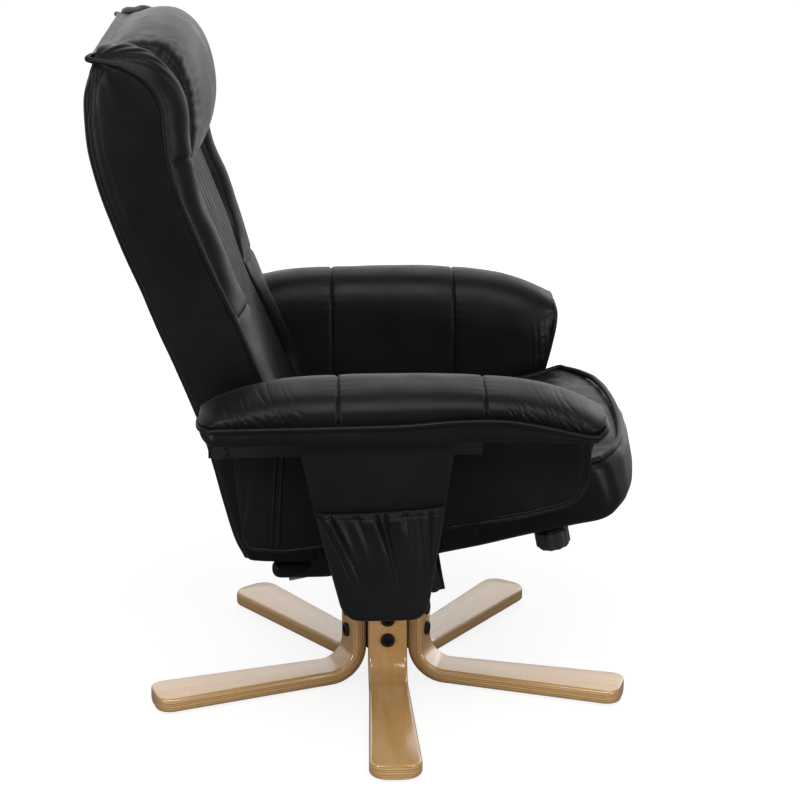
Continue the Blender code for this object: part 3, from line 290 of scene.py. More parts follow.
def grid_faces(row_count, column_count, around=False, caps=False):
    """Faces of a grid; around joins its last column to its first, caps close the end loops."""
    faces = []
    for i in range(row_count - 1):
        for j in range(column_count if around else column_count - 1):
            k = (j + 1) % column_count
            a, b = i * column_count, (i + 1) * column_count
            faces.append((a + j, a + k, b + k, b + j))
    if caps:
        last = (row_count - 1) * column_count
        faces += [tuple(range(column_count)), tuple(range(last, last + column_count))]
    return faces


def grid_piece(name, rows, around=False, caps=False):
    """Object from a grid of points."""
    return mesh_piece(name, rows, grid_faces(len(rows), len(rows[0]), around, caps))


def mesh_arrays(piece):
    """Places and normals of a piece's points."""
    found = []
    for key in ("co", "normal"):
        numbers = np.empty(len(piece.data.vertices) * 3, np.float32)
        piece.data.vertices.foreach_get(key, numbers)
        found.append(numbers.reshape(-1, 3).astype(float))
    return found


def inflate(piece, free, pressure, cap):
    """Short cloth run under air pressure: points with free at 1 move, by cap at most, the rest are held."""
    scene = bpy.context.scene
    before, outward = mesh_arrays(piece)
    start = before - outward * (SWELL_START * free)[:, None]
    piece.data.vertices.foreach_set("co", start.ravel())
    held = piece.vertex_groups.new(name="held")
    for index, share in enumerate(free):
        held.add([index], 1.0 - float(share), "REPLACE")
    cloth = piece.modifiers.new("Cloth", "CLOTH")
    area = sum(polygon.area for polygon in piece.data.polygons)
    cloth.settings.mass = SWELL_WEIGHT * area / len(before)
    cloth.settings.use_pressure = True
    cloth.settings.uniform_pressure_force = pressure
    cloth.settings.vertex_group_mass = "held"
    cloth.settings.effector_weights.gravity = 0.0
    cloth.collision_settings.use_collision = False
    cloth.point_cache.frame_start, cloth.point_cache.frame_end = 1, SWELL_FRAMES
    for frame_number in range(1, SWELL_FRAMES + 1):
        scene.frame_set(frame_number)
    after, _ = mesh_arrays(piece.evaluated_get(bpy.context.evaluated_depsgraph_get()))
    move = after - before
    length = np.linalg.norm(move, axis=1, keepdims=True)
    move *= np.minimum(1.0, cap / np.maximum(length, TINY))
    piece.modifiers.remove(cloth)
    piece.vertex_groups.remove(held)
    scene.frame_set(1)
    piece.data.vertices.foreach_set("co", (before + move).ravel())
    piece.data.update()


def rings(path, radii):
    """Circles along a path, turned as little as possible from one to the next."""
    ahead = unit(np.gradient(path, axis=0))
    up = np.cross(ahead[0], (0.0, 0.0, 1.0) if abs(ahead[0][2]) < 0.9 else (1.0, 0.0, 0.0))
    angles = np.linspace(0, math.tau, PIPING_SIDES, endpoint=False)[:, None]
    found = []
    for point, direction, radius in zip(path, ahead, radii):
        up = unit(up - direction * (up @ direction))
        side = np.cross(direction, up)
        found.append(point + radius * (np.cos(angles) * up + np.sin(angles) * side))
    return np.array(found)


def piping(name, path, body, radius=PIPING):
    """Leather-covered cord sewn into a seam, a little uneven where the cover is gathered."""
    radii = radius * (1 + PIPING_UNEVEN * field(path, PIPING_WAVE))
    piece = grid_piece(name, rings(path, radii), around=True, caps=True)
    return finish_piece(piece, body, LEATHER, 1)


def stitches(name, path, out, body):
    """Row of thread stitches along a path, standing just proud of the surface along out."""
    length = np.linalg.norm(np.diff(path, axis=0), axis=1).sum()
    count = max(int(length / STITCH_PITCH), 2)
    both = spaced(np.hstack([path, np.broadcast_to(out, path.shape)]), 3 * count + 1)
    points, faces = [], []
    for k in range(count):
        middle, up = both[3 * k + 1, :3], both[3 * k + 1, 3:]
        ahead = unit(both[3 * k + 2, :3] - both[3 * k, :3]) * STITCH_LENGTH / 2
        side = unit(np.cross(ahead, up)) * STITCH_RADIUS
        lift = unit(up) * STITCH_RADIUS
        first = len(points)
        points += [middle - ahead - lift, middle + side, middle + STITCH_PROUD * lift, middle - side,
                   middle - lift, middle + ahead - lift]
        for j in range(4):
            a, b = first + 1 + j, first + 1 + (j + 1) % 4
            faces += [(first, a, b), (first + 5, b, a)]
    return finish_piece(mesh_piece(name, points, faces), body, THREAD)


# Materials
class Nodes:
    """Node tree of a material or world, with short calls for adding procedural nodes."""

    def __init__(self, owner, surface):
        owner.use_nodes = True
        self.owner = owner
        self.tree = owner.node_tree
        self.surface = self.tree.nodes[surface]

    def feed(self, socket, source):
        """Links an output to an input, or sets the input to a number, vector or colour."""
        if hasattr(source, "is_linked"):
            self.tree.links.new(source, socket)
        elif isinstance(source, (int, float)):
            socket.default_value = source
        else:
            socket.default_value = source if len(source) == len(socket.default_value) else (*source, 1.0)

    def set(self, **sources):
        """Feeds inputs of the surface, named with _ for their blanks."""
        for name, source in sources.items():
            self.feed(self.surface.inputs[name.replace("_", " ")], source)

    def node(self, kind, inputs=None, **settings):
        """New node; inputs go by name or number, settings are its properties."""
        made = self.tree.nodes.new(kind)
        for key, value in settings.items():
            setattr(made, key, value)
        for key, source in (inputs or {}).items():
            self.feed(made.inputs[key], source)
        return made

    def coordinates(self, scale=(1, 1, 1), place=None):
        """Places on the object, or the given ones, stretched by scale."""
        place = place or self.node("ShaderNodeTexCoord").outputs["Object"]
        return self.node("ShaderNodeMapping", {"Vector": place, "Scale": scale}).outputs["Vector"]

    def noise(self, vector, scale, detail=3.0, roughness=0.5):
        inputs = {"Vector": vector, "Scale": scale, "Detail": detail, "Roughness": roughness}
        return self.node("ShaderNodeTexNoise", inputs).outputs["Fac"]

    def attribute(self, name):
        return self.node("ShaderNodeAttribute", attribute_name=name).outputs["Fac"]

    def range(self, source, low, high, to_low, to_high, **settings):
        inputs = {"Value": source, "From Min": low, "From Max": high, "To Min": to_low, "To Max": to_high}
        return self.node("ShaderNodeMapRange", inputs, **settings).outputs["Result"]

    def maths(self, operation, first, second=0.0):
        return self.node("ShaderNodeMath", {0: first, 1: second}, operation=operation).outputs["Value"]

    def ramp(self, source, *stops):
        """Colours at places along 0 to 1."""
        made = self.node("ShaderNodeValToRGB", {"Fac": source})
        elements = made.color_ramp.elements
        while len(elements) < len(stops):
            elements.new(1.0)
        for element, (place, color) in zip(elements, stops):
            element.position = place
            element.color = (*color, 1.0)
        return made.outputs["Color"]

    def mix(self, share, first, second):
        return self.node("ShaderNodeMix", {0: share, 6: first, 7: second}, data_type="RGBA").outputs[2]

    def rubbed(self, high, share):
        """Up to share on sharp edges, which have a pointiness of high or more."""
        edges = self.node("ShaderNodeNewGeometry").outputs["Pointiness"]
        return self.range(edges, 0.54, high, 0.0, share)

    def bumps(self, *heights):
        """Bump nodes in a row, each (height, distance, strength)."""
        inputs = {}
        for height, distance, strength in heights:
            inputs.update({"Height": height, "Distance": distance, "Strength": strength})
            inputs["Normal"] = self.node("ShaderNodeBump", inputs).outputs["Normal"]
        self.set(Normal=inputs["Normal"])


def principled(name, color, roughness, **sockets):
    shader = Nodes(bpy.data.materials.new(name), "Principled BSDF")
    shader.set(Base_Color=color, Roughness=roughness, **sockets)
    return shader


def leather(name, color, roughness, grain):
    """Smooth coated leather: pebble grain, fine creases, uneven sheen and rubbed edges."""
    shader = principled(name, color, roughness,
                        Specular_IOR_Level=0.17, Sheen_Weight=0.03, Sheen_Roughness=0.4)
    place = shader.coordinates()
    pebbles = shader.node("ShaderNodeTexVoronoi", {"Vector": place, "Scale": grain, "Smoothness": 0.6},
                          feature="SMOOTH_F1").outputs["Distance"]
    fine = shader.noise(place, 2.4 * grain, 2.0)
    soft = shader.noise(place, 26.0, 4.0, 0.6)
    broad = shader.range(shader.noise(place, 6.0, 2.0), 0.35, 0.65, 0.0, 1.0)
    shader.bumps((soft, 0.0008, 0.20), (pebbles, 0.0004, 0.22), (fine, 0.0002, 0.2))
    tint = shader.mix(broad, [0.8 * c for c in color], [1.25 * c for c in color])
    shader.set(Base_Color=shader.mix(shader.rubbed(0.64, 0.25), tint, [2.2 * c + 0.004 for c in color]),
               Roughness=shader.range(soft, 0.30, 0.70, roughness - 0.05, roughness + 0.07))
    return shader.owner


def plywood():
    """Lacquered birch ply: veneers on the edges, long grain and flecks on the faces, and painted shade on the
    legs' upright parts.
    """
    shader = principled("birch_ply", (0.52, 0.31, 0.13), 0.34,
                        Coat_Weight=1.0, Coat_Roughness=0.14, Coat_IOR=1.8)
    layer, along = shader.attribute("layer"), shader.attribute("along")
    across, upright_painted_shade = shader.attribute("across"), shader.attribute("upright")
    place = shader.node("ShaderNodeCombineXYZ", {"X": along, "Y": across, "Z": layer}).outputs["Vector"]

    def stretched(scale, detail, roughness=0.5):
        return shader.noise(shader.coordinates(scale, place), 1.0, detail, roughness)

    grain = stretched((7.0, 75.0, 0.0), 6.0, 0.6)
    figure = stretched((9.0, 18.0, 0.0), 3.0)
    pores = stretched((160.0, 800.0, 0.0), 2.0)
    face = shader.ramp(grain, (0.28, (0.60, 0.32, 0.10)), (0.55, (0.72, 0.42, 0.15)),
                       (0.78, (0.80, 0.51, 0.21)))
    # Painted shade: the upright part of each leg is mixed towards a darker, deeper orange than its flat run, for
    # how light falls on it.
    face = shader.mix(shader.range(upright_painted_shade, 0.0, 1.0, 0.0, 0.55), face, (0.66, 0.32, 0.07))
    face = shader.mix(shader.range(figure, 0.42, 0.72, 0.0, 0.45), face, (0.78, 0.55, 0.30))
    face = shader.mix(shader.range(pores, 0.60, 0.70, 0.0, 0.50), face, (0.26, 0.13, 0.05))
    wander = shader.maths("MULTIPLY", shader.maths("SUBTRACT", stretched((9.0, 0.0, 0.0), 2.0), 0.5), 0.5)
    stack = shader.maths("ADD", shader.maths("MULTIPLY", layer, LEG_VENEERS), wander)
    line = shader.ramp(shader.maths("FRACT", stack), (0.0, (0.20, 0.09, 0.03)), (0.13, (0.24, 0.12, 0.04)),
                       (0.24, (0.72, 0.44, 0.18)), (0.90, (0.76, 0.48, 0.21)), (1.0, (0.34, 0.16, 0.05)))
    second = shader.maths("GREATER_THAN", shader.maths("FRACT", shader.maths("MULTIPLY", stack, 0.5)), 0.5)
    edge = shader.mix(shader.maths("MULTIPLY", second, 0.40), line, (0.50, 0.26, 0.08))
    streaks = shader.range(stretched((40.0, 0.0, 60.0), 4.0), 0.4, 0.7, 0.0, 0.35)
    edge = shader.mix(streaks, edge, (0.46, 0.27, 0.10))
    shader.set(Base_Color=shader.mix(shader.attribute("edge"), face, edge),
               Roughness=shader.range(grain, 0.3, 0.7, 0.28, 0.42))
    shader.bumps((grain, 0.0003, 0.15), (pores, 0.0002, 0.12))
    return shader.owner


def plain(name, color, roughness, relief, raised, tones, clouds=None, sheen=None, worn=None, **sockets):
    """Material of one noise, raised by (distance, strength), and of clouds for its tones and sheen.

    A noise is (stretch, scale, detail and so on). Without clouds the first one gives the tones.
    """
    shader = principled(name, color, roughness, **sockets)
    height = shader.noise(shader.coordinates(relief[0]), *relief[1:])
    shader.bumps((height, *raised))
    shade = shader.noise(shader.coordinates(clouds[0]), *clouds[1:]) if clouds else height
    tint = shader.ramp(shade, *tones)
    shader.set(Base_Color=shader.mix(shader.rubbed(0.62, 0.6), tint, worn) if worn else tint)
    if sheen:
        shader.set(Roughness=shader.range(shade, *sheen))
    return shader.owner


EVEN = (1, 1, 1)
LEATHER = leather("black_leather", (0.0060, 0.0062, 0.0072), 0.40, 700.0)
POCKET_LEATHER = leather("pocket_leather", (0.0072, 0.0073, 0.0082), 0.44, 800.0)
THREAD = plain("sewing_thread", (0.016, 0.016, 0.017), 0.6, (EVEN, 1800.0, 1.0), (0.0002, 0.5),
               ((0.3, (0.010, 0.010, 0.011)), (0.7, (0.026, 0.026, 0.027))))
PLY = plywood()
RAW_BOARD = plain("raw_board", (0.50, 0.36, 0.21), 0.7, ((12, 160, 160), 1.0, 5.0, 0.6), (0.0006, 0.3),
                  ((0.25, (0.38, 0.26, 0.14)), (0.75, (0.60, 0.45, 0.28))))
# Powder coat with fine orange peel, greyer where it is rubbed
BLACK_STEEL = plain("black_steel", (0.009, 0.009, 0.010), 0.42, (EVEN, 900.0, 2.0), (0.0003, 0.35),
                    ((0.3, (0.007, 0.007, 0.008)), (0.7, (0.012, 0.012, 0.013))), (EVEN, 30.0, 4.0),
                    (0.3, 0.7, 0.36, 0.52), (0.035, 0.035, 0.037), Specular_IOR_Level=0.25)
# Zinc plate with drawing marks and dull patches
GREY_STEEL = plain("grey_steel", (0.30, 0.30, 0.31), 0.38, ((40, 900, 900), 1.0, 3.0), (0.0002, 0.25),
                   ((0.3, (0.24, 0.24, 0.25)), (0.7, (0.36, 0.36, 0.36))), (EVEN, 45.0, 4.0),
                   (0.3, 0.7, 0.30, 0.50), Metallic=0.9)
# Satin moulded plastic with spark texture and scuffs
BLACK_PLASTIC = plain("black_plastic", (0.018, 0.018, 0.018), 0.34, (EVEN, 1500.0, 2.0), (0.0002, 0.3),
                      ((0.3, (0.014, 0.014, 0.014)), (0.75, (0.026, 0.026, 0.026))),
                      ((60, 400, 60), 1.0, 4.0), (0.35, 0.7, 0.28, 0.46), Specular_IOR_Level=0.55)
SLOT_MATERIALS = {"black_leather": LEATHER, "pocket_leather": POCKET_LEATHER, "raw_board": RAW_BOARD,
                  "black_steel": BLACK_STEEL, "grey_steel": GREY_STEEL, "black_plastic": BLACK_PLASTIC,
                  "birch_ply": PLY}
for subpart in frame["record"]["subparts"]:
    node = frame["nodes"][subpart["node"]]
    node.data.materials.clear()
    node.data.materials.append(SLOT_MATERIALS[subpart["material_slot"]])


# Base: bent ply legs and their bolts
def leg_angle(k):
    return -math.pi / 2 + math.tau * k / LEG_COUNT


def rounded_bar(half_width, half_height, radius, steps=5):
    """Outline of a bar with rounded corners, anticlockwise."""
    points = []
    for cx, cy, start in ((1, 1, 0), (-1, 1, 1), (-1, -1, 2), (1, -1, 3)):
        for k in range(steps + 1):
            angle = math.pi / 2 * (start + k / steps)
            points.append((cx * (half_width - radius) + radius * math.cos(angle),
                           cy * (half_height - radius) + radius * math.sin(angle)))
    return points


def leg_line():
    """Middle line of a leg along +X: (x, z, outward direction, half width), upright first."""
    half = LEG_THICKNESS / 2
    bend_x = LEG_BACK + LEG_THICKNESS + LEG_BEND
    bend_z = LEG_UNDER + LEG_THICKNESS + LEG_BEND
    reach = LEG_BEND + half
    hub, tip = LEG_HUB_WIDTH / 2, LEG_TIP_WIDTH / 2
    out, up, run_z = (1.0, 0.0), (0.0, 1.0), LEG_UNDER + half
    line = [(LEG_BACK + half, z, out, hub) for z in np.linspace(LEG_TOP, bend_z, 8)]
    line[0] = (line[0][0], LEG_TOP, out, hub - LEG_EDGE / 2)
    line.insert(1, (line[0][0], LEG_TOP - LEG_EDGE / 2, out, hub))
    for angle in np.linspace(math.pi, 1.5 * math.pi, 18)[1:]:
        cos, sin = math.cos(angle), math.sin(angle)
        line.append((bend_x + reach * cos, bend_z + reach * sin, (-cos, -sin), hub))
    run_end = LEG_REACH - LEG_TIP_ROUND
    for q in np.linspace(0, 1, 16)[1:]:
        line.append((bend_x + (run_end - bend_x) * q, run_z, up, hub + (tip - hub) * q))
    for angle in np.linspace(0, math.pi / 2, 9)[1:]:
        cos, sin = math.cos(angle), math.sin(angle)
        line.append((run_end + LEG_TIP_ROUND * sin, run_z, up, tip - LEG_TIP_ROUND * (1 - cos)))
    return line


def build_leg(k):
    """One leg; its point attributes place the veneers, the grain and the painted shade of its upright part."""
    away, points = 0.0, []
    values = {key: [] for key in ("layer", "along", "across", "edge", "upright")}
    line = leg_line()
    bend_z = LEG_UNDER + LEG_THICKNESS + LEG_BEND
    for i, (x, z, (nx, nz), half_width) in enumerate(line):
        away += math.hypot(x - line[i - 1][0], z - line[i - 1][1]) if i else 0.0
        section = rounded_bar(half_width, LEG_THICKNESS / 2, LEG_EDGE)
        for w, q in section:
            points.append((x + q * nx, w, z + q * nz))
            values["layer"].append(q / LEG_THICKNESS + 0.5)
            values["along"].append(away)
            values["across"].append(w + LEG_GRAIN_SHIFT * k)
            values["edge"].append(float(abs(w) > half_width - 0.6 * LEG_EDGE or i in (0, len(line) - 1)))
            # The upright value places painted shade: the material colours the upright part darker and deeper
            # orange.
            values["upright"].append(rising(z + q * nz, 0.35 * bend_z, 0.85 * bend_z))
    faces = grid_faces(len(line), len(section), around=True, caps=True)
    leg = mesh_piece(f"ply_leg_{k + 1}", turned(points, leg_angle(k)), faces)
    for key, numbers in values.items():
        leg.data.attributes.new(key, "FLOAT", "POINT").data.foreach_set("value", numbers)
    finish_piece(leg, "base", PLY)
    leg.data.set_sharp_from_angle(angle=LEG_CREASE)
    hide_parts(f"leg_{k + 1}")


def bolt_points():
    """Button-head bolt with a hexagon socket, along +X: rings of points."""
    angles = math.tau * np.arange(BOLT_SIDES) / BOLT_SIDES
    sixth = math.tau / 6
    hexagon = BOLT_SOCKET * math.cos(sixth / 2) / np.cos(angles % sixth - sixth / 2)
    profile = [(share * BOLT_HEAD_RADIUS, height) for share, height in BOLT_PROFILE]
    profile += [(hexagon, 1.0), (hexagon, BOLT_SOCKET_FLOOR), (0.0, BOLT_SOCKET_FLOOR)]
    return np.array([np.stack([np.full(BOLT_SIDES, height * BOLT_HEAD_HEIGHT), radius * np.cos(angles),
                               radius * np.sin(angles)], -1) for radius, height in profile])


def build_bolts(k):
    for name, z in zip(("lower", "upper"), BOLT_HEIGHTS):
        rows = turned(bolt_points() + (LEG_BACK + LEG_THICKNESS, 0.0, z), leg_angle(k))
        bolt = grid_piece(f"leg_bolt_{name}_{k + 1}", rows, around=True)
        finish_piece(bolt, "base", BLACK_STEEL)
        bolt.data.set_sharp_from_angle(angle=BOLT_CREASE)
        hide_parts(f"leg_bolts_{k + 1}")


def build_bar_bolts(side):
    """Two button heads at the rear end of the arm bar."""
    out, across, up = np.moveaxis(bolt_points() * BAR_BOLT_SIZE, -1, 0)
    for name, (x, z) in zip(("upper", "lower"), BAR_BOLTS):
        rows = np.stack([x + across, SIDES[side] * (BAR_FACE + out), z + up], -1)
        bolt = grid_piece(f"bar_bolt_{name}_{side}", rows, around=True)
        finish_piece(bolt, "armrest_" + side, GREY_STEEL)
        bolt.data.set_sharp_from_angle(angle=BOLT_CREASE)


for leg_number in range(LEG_COUNT):
    build_leg(leg_number)
    build_bolts(leg_number)
for arm_side in SIDES:
    build_bar_bolts(arm_side)


# Backrest: casing, piping, ribbed cushion with side bolsters, head pillow
CASING_ROWS = 150
CASING_SIDE_STEPS = 30
CASING_CORNER_STEPS = 10
CASING_REAR_STEPS = 18
CASING_WAVES = ((0.0022, (0.16, 0.30, 0.22), 3.1), (0.0008, 0.045, 7.7))
SIDE_PUFF = 0.0045
REAR_PUFF = 0.006
REAR_SEAM_DEPTH = 0.0018
TOP_GATHER = 0.0012
TOP_GATHER_WIDTH = 0.035
TOP_GATHER_WAVES = 260
BACK_PIPING_LIFT = 0.0015
BACK_PIPING_TURN = ((0.002, 0.001, -0.006), (0.004, 0.010, -0.007), (0.004, 0.022, -0.003))
DART = ((0.712, -0.024), (0.668, -0.040))
RIM_STEPS = 1200
CUSHION_HALF = 0.237
CUSHION_FOOT_S = 0.012
CUSHION_ROWS = 170
CUSHION_WAVES = ((0.0024, (0.11, 0.12, 0.15), 1.3), (0.0012, 0.035, 5.9))
RIBS = 10
RIB_STEPS = 12
RIB_DEPTH = 0.0095
PANEL_RISE_LINE = ((-0.05, 0.004), (0.250, 0.003), (0.325, 0.003), (0.370, 0.005), (0.440, 0.009),
                   (0.740, 0.012))
PANEL_HALF_LINE = ((-0.05, 0.210), (0.120, 0.206), (0.180, 0.192), (0.240, 0.152), (0.295, 0.114),
                   (0.325, 0.106), (0.355, 0.124), (0.395, 0.156), (0.450, 0.172), (0.520, 0.174),
                   (0.740, 0.174))
BOLSTER_HEIGHT_LINE = ((-0.05, 0.016), (0.05, 0.018), (0.166, 0.019), (0.230, 0.017), (0.290, 0.016),
                       (0.340, 0.017), (0.388, 0.022), (0.450, 0.027), (0.510, 0.027), (0.560, 0.032),
                       (0.640, 0.033), (0.690, 0.032), (0.715, 0.028), (0.728, 0.020), (0.740, 0.010))
BOLSTER_STEPS = 30
BOLSTER_CREST = 0.45
BOLSTER_SEAMS = (0.338, 0.572)
BOLSTER_SEAM_DEPTH = 0.0032
BOLSTER_FOOT_DEPTH = 0.0035
FAN_DEPTH = 0.0016
FAN_FOLDS = 26
FAN_WIDTH = 0.055
PILLOW_LINE = ((0.548, 0.066), (0.566, 0.086), (0.600, 0.109), (0.650, 0.122), (0.702, 0.121),
               (0.738, 0.099), (0.750, 0.066), (0.748, 0.030), (0.738, -0.004))
PILLOW_STEPS = 70
PILLOW_ACROSS = 75
PILLOW_END_STEPS = 7
PILLOW_WAVES = ((0.0035, (0.12, 0.16, 0.12), 4.4), (0.0008, (0.03, 0.06, 0.03), 8.2))
PILLOW_FOOT_S = 0.556
PILLOW_FULL = 0.190
PILLOW_END = 0.201
PILLOW_EDGE = 0.52
PILLOW_PRESSURE = 40.0
PILLOW_SWELL = 0.007
PUCKERS = 27
PUCKER_DEPTH = 0.0036
PUCKER_BAND = (-0.016, -0.004)
PUCKER_PULL = 0.0012
PUCKER_PULL_WIDTH = 0.020


def rim_curve(count, low=RIM_LINE[0][0]):
    """Front edge of the casing's sides from low s to the rear corner, with its forward normals."""
    dense = smooth(RIM_LINE, RIM_STEPS)
    line = spaced(dense[dense[:, 0] >= low], count)
    ahead = unit(np.gradient(line, axis=0))
    return line, np.stack([-ahead[:, 1], ahead[:, 0]], 1)


def segment_distance(s, t, first, last):
    """Distance of points of the side view from a straight seam."""
    (s0, t0), (s1, t1) = first, last
    share = ((s - s0) * (s1 - s0) + (t - t0) * (t1 - t0)) / ((s1 - s0) ** 2 + (t1 - t0) ** 2)
    share = np.clip(share, 0, 1)
    return np.hypot(s - s0 - share * (s1 - s0), t - t0 - share * (t1 - t0))


def build_casing():
    """Leather shell: side panel, rounded edge, rear, and the same again on the other side."""
    rear = smooth(REAR_LINE, CASING_ROWS)
    rim, _ = rim_curve(CASING_ROWS)
    depth = np.linalg.norm(rim - rear, axis=1)
    corner = np.minimum(BACK_EDGE, 0.6 * depth)
    forward = (rim - rear) / np.maximum(depth, TINY)[:, None]
    columns = []
    for q in np.linspace(1, 0, CASING_SIDE_STEPS):
        u = corner + (depth - corner) * q
        columns.append((u, np.full(CASING_ROWS, BACK_HALF) + SIDE_PUFF * np.sin(math.pi * q) ** 0.7))
    for angle in np.linspace(0, math.pi / 2, CASING_CORNER_STEPS)[1:]:
        columns.append((corner * (1 - math.sin(angle)), BACK_HALF - corner * (1 - math.cos(angle))))
    for share in np.linspace(1, 0, CASING_REAR_STEPS)[1:]:
        y = (BACK_HALF - corner) * share
        columns.append((-REAR_PUFF * (1 - share ** 2) * np.minimum(depth / BACK_EDGE, 1), y))
    columns = [(u, -y) for u, y in columns] + columns[-2::-1]
    u, y = np.stack(columns, -1)
    s = rear[:, :1] + forward[:, :1] * u
    t = rear[:, 1:] + forward[:, 1:] * u
    points = back(s, y, t)
    on_side = np.abs(y) > BACK_HALF - BACK_EDGE
    sewn = np.abs(np.abs(y) - (BACK_HALF - 0.35 * BACK_EDGE)) + 10.0 * (u > corner[:, None])
    height = waves(points, *CASING_WAVES) + groove(sewn, REAR_SEAM_DEPTH)
    height += on_side * groove(segment_distance(s, t, *DART))
    height += on_side * TOP_GATHER * hill(BACK_TOP_S - s, TOP_GATHER_WIDTH) * np.sin(TOP_GATHER_WAVES * t)
    piece = grid_piece("back_casing", points + normals(points) * height[..., None])
    finish_piece(piece, "backrest", LEATHER, 1)
    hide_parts("back_shell")


def build_back_piping():
    """One cord up the near side, across the rear top edge and down the far side."""
    rim, out = rim_curve(120)
    line = rim + BACK_PIPING_LIFT * out
    near = back(line[:, 0], -BACK_HALF - 0.001, line[:, 1])[:-5]
    top_s, top_t = line[-1]
    corner = [back(top_s + s, -BACK_HALF + y, top_t + t) for s, y, t in BACK_PIPING_TURN]
    end = BACK_HALF - 0.04
    cross = [back(top_s + 0.002, y, top_t - 0.002) for y in np.linspace(-end, end, 9)]
    far = (near * MIRROR)[::-1]
    points = [*near[::6], near[-1], *corner, *cross, *(c * MIRROR for c in corner[::-1]), far[0], *far[::6]]
    piping("back_piping", smooth(points, 420), "backrest")


def build_back_cushion():
    """Hourglass panel of upright ribs between two bolsters; the ribs end under the pillow."""
    rim, out = rim_curve(CUSHION_ROWS, CUSHION_FOOT_S)
    s = rim[:, :1]
    half, crest = reading(PANEL_HALF_LINE)(s), reading(BOLSTER_HEIGHT_LINE)(s)
    panel = np.minimum(reading(PANEL_RISE_LINE)(s), crest)
    inner = np.linspace(-1, 1, RIB_STEPS * RIBS + 1)
    outer = np.linspace(0, 1, BOLSTER_STEPS)[1:] ** 0.9
    share = np.concatenate([-1 - outer[::-1], inner, 1 + outer])[None, :]
    share = np.broadcast_to(share, (CUSHION_ROWS, share.shape[1]))
    s = np.broadcast_to(s, share.shape)
    q = np.clip(np.abs(share) - 1, 0, 1)
    y = np.sign(share) * np.where(q > 0, half + q * (CUSHION_HALF - half), np.abs(share) * half)
    ribs = RIB_DEPTH * creases((np.clip(share, -1, 1) + 1) / 2 * RIBS) * (q <= 0) * (s <= PILLOW_FOOT_S)
    rise = panel + (crest - panel) * np.sin(math.pi / 2 * rising(q, 0, BOLSTER_CREST))
    fall = crest * np.cos(math.pi / 2 * rising(q, BOLSTER_CREST, 1)) ** 0.7
    height = np.where(q < BOLSTER_CREST, rise, fall) + ribs
    points = back(s + out[:, :1] * height, y, rim[:, 1:] + out[:, 1:] * height)
    bolster = rising(q, 0, 0.12) * rising(1 - q, 0, 0.15)
    extra = waves(points, *CUSHION_WAVES) * bolster
    for seam in BOLSTER_SEAMS:
        extra += (q > 0.02) * groove(s - seam, BOLSTER_SEAM_DEPTH) * rising(1 - q, 0, 0.1)
    extra -= BOLSTER_FOOT_DEPTH * hill(q, 0.05) * (q > 0)
    fan = np.arctan2(BACK_TOP_S - s, 0.10 - 0.10 * q)
    extra += FAN_DEPTH * np.sin(FAN_FOLDS * fan) * bolster * hill(BACK_TOP_S + 0.008 - s, FAN_WIDTH)
    piece = grid_piece("back_cushion_cover", points + normals(points) * extra[..., None])
    finish_piece(piece, "backrest", LEATHER, 1)
    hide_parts("back_cushion")


def build_pillow():
    """Dome over the top of the back, with a narrow ruched band at both ends."""
    dome = smooth(PILLOW_LINE, PILLOW_STEPS)
    base, _ = rim_curve(PILLOW_STEPS, PILLOW_FOOT_S - 0.012)
    ends = PILLOW_FULL + (PILLOW_END - PILLOW_FULL) * np.linspace(0, 1, PILLOW_END_STEPS)[1:]
    fine = PILLOW_FULL * np.sin(np.linspace(-math.pi / 2, math.pi / 2, PILLOW_ACROSS))
    across = np.concatenate([-ends[::-1], fine, ends])
    q = rising(np.abs(across), PILLOW_FULL, PILLOW_END)
    crown = np.maximum(1 - (across / PILLOW_FULL) ** 2, 0.0) ** 0.55
    swell = (PILLOW_EDGE + (1 - PILLOW_EDGE) * crown) * (1 - 0.75 * q ** 1.5)
    loop_dome = base[None] + (dome - base)[None] * swell[:, None, None]
    loops = np.concatenate([loop_dome, np.broadcast_to(base[::-1], loop_dome.shape)], 1)
    y = np.broadcast_to(across[:, None], loops.shape[:2])
    points = back(loops[..., 0], y, loops[..., 1])
    run = np.linspace(0, 1, PILLOW_STEPS)
    along = np.concatenate([run, run[::-1]])[None, :]
    on_dome = np.repeat((1.0, 0.0), PILLOW_STEPS)[None, :] * np.abs(np.sin(math.pi * along)) ** 0.3
    inside = np.abs(across)[:, None] - PILLOW_FULL
    uneven = 0.35 * np.sin(5.1 * along * math.tau) + 0.2 * np.sin(11.3 * along * math.tau)
    height = PUCKER_DEPTH * rising(inside, *PUCKER_BAND) * creases(PUCKERS * along + uneven)
    pulls = np.sin(math.tau * (PUCKERS / 2 * along + uneven))
    height = height + PUCKER_PULL * hill(inside + 0.022, PUCKER_PULL_WIDTH) * pulls
    height = (height + waves(points, *PILLOW_WAVES)) * on_dome
    piece = grid_piece("head_pillow_cover", points + normals(points, True) * height[..., None], around=True)
    places, outward = mesh_arrays(piece)
    facing = outward[:, 0] * math.cos(BACK_LEAN) + outward[:, 2] * math.sin(BACK_LEAN)
    within = rising(PILLOW_FULL - 0.010 - np.abs(places[:, 1]), 0, 0.020)
    inflate(piece, within * np.clip(facing / 0.4 + 0.4, 0, 1), PILLOW_PRESSURE, PILLOW_SWELL)
    finish_piece(piece, "backrest", LEATHER, 1)
    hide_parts("head_pillow")


build_casing()
build_back_piping()
build_back_cushion()
build_pillow()


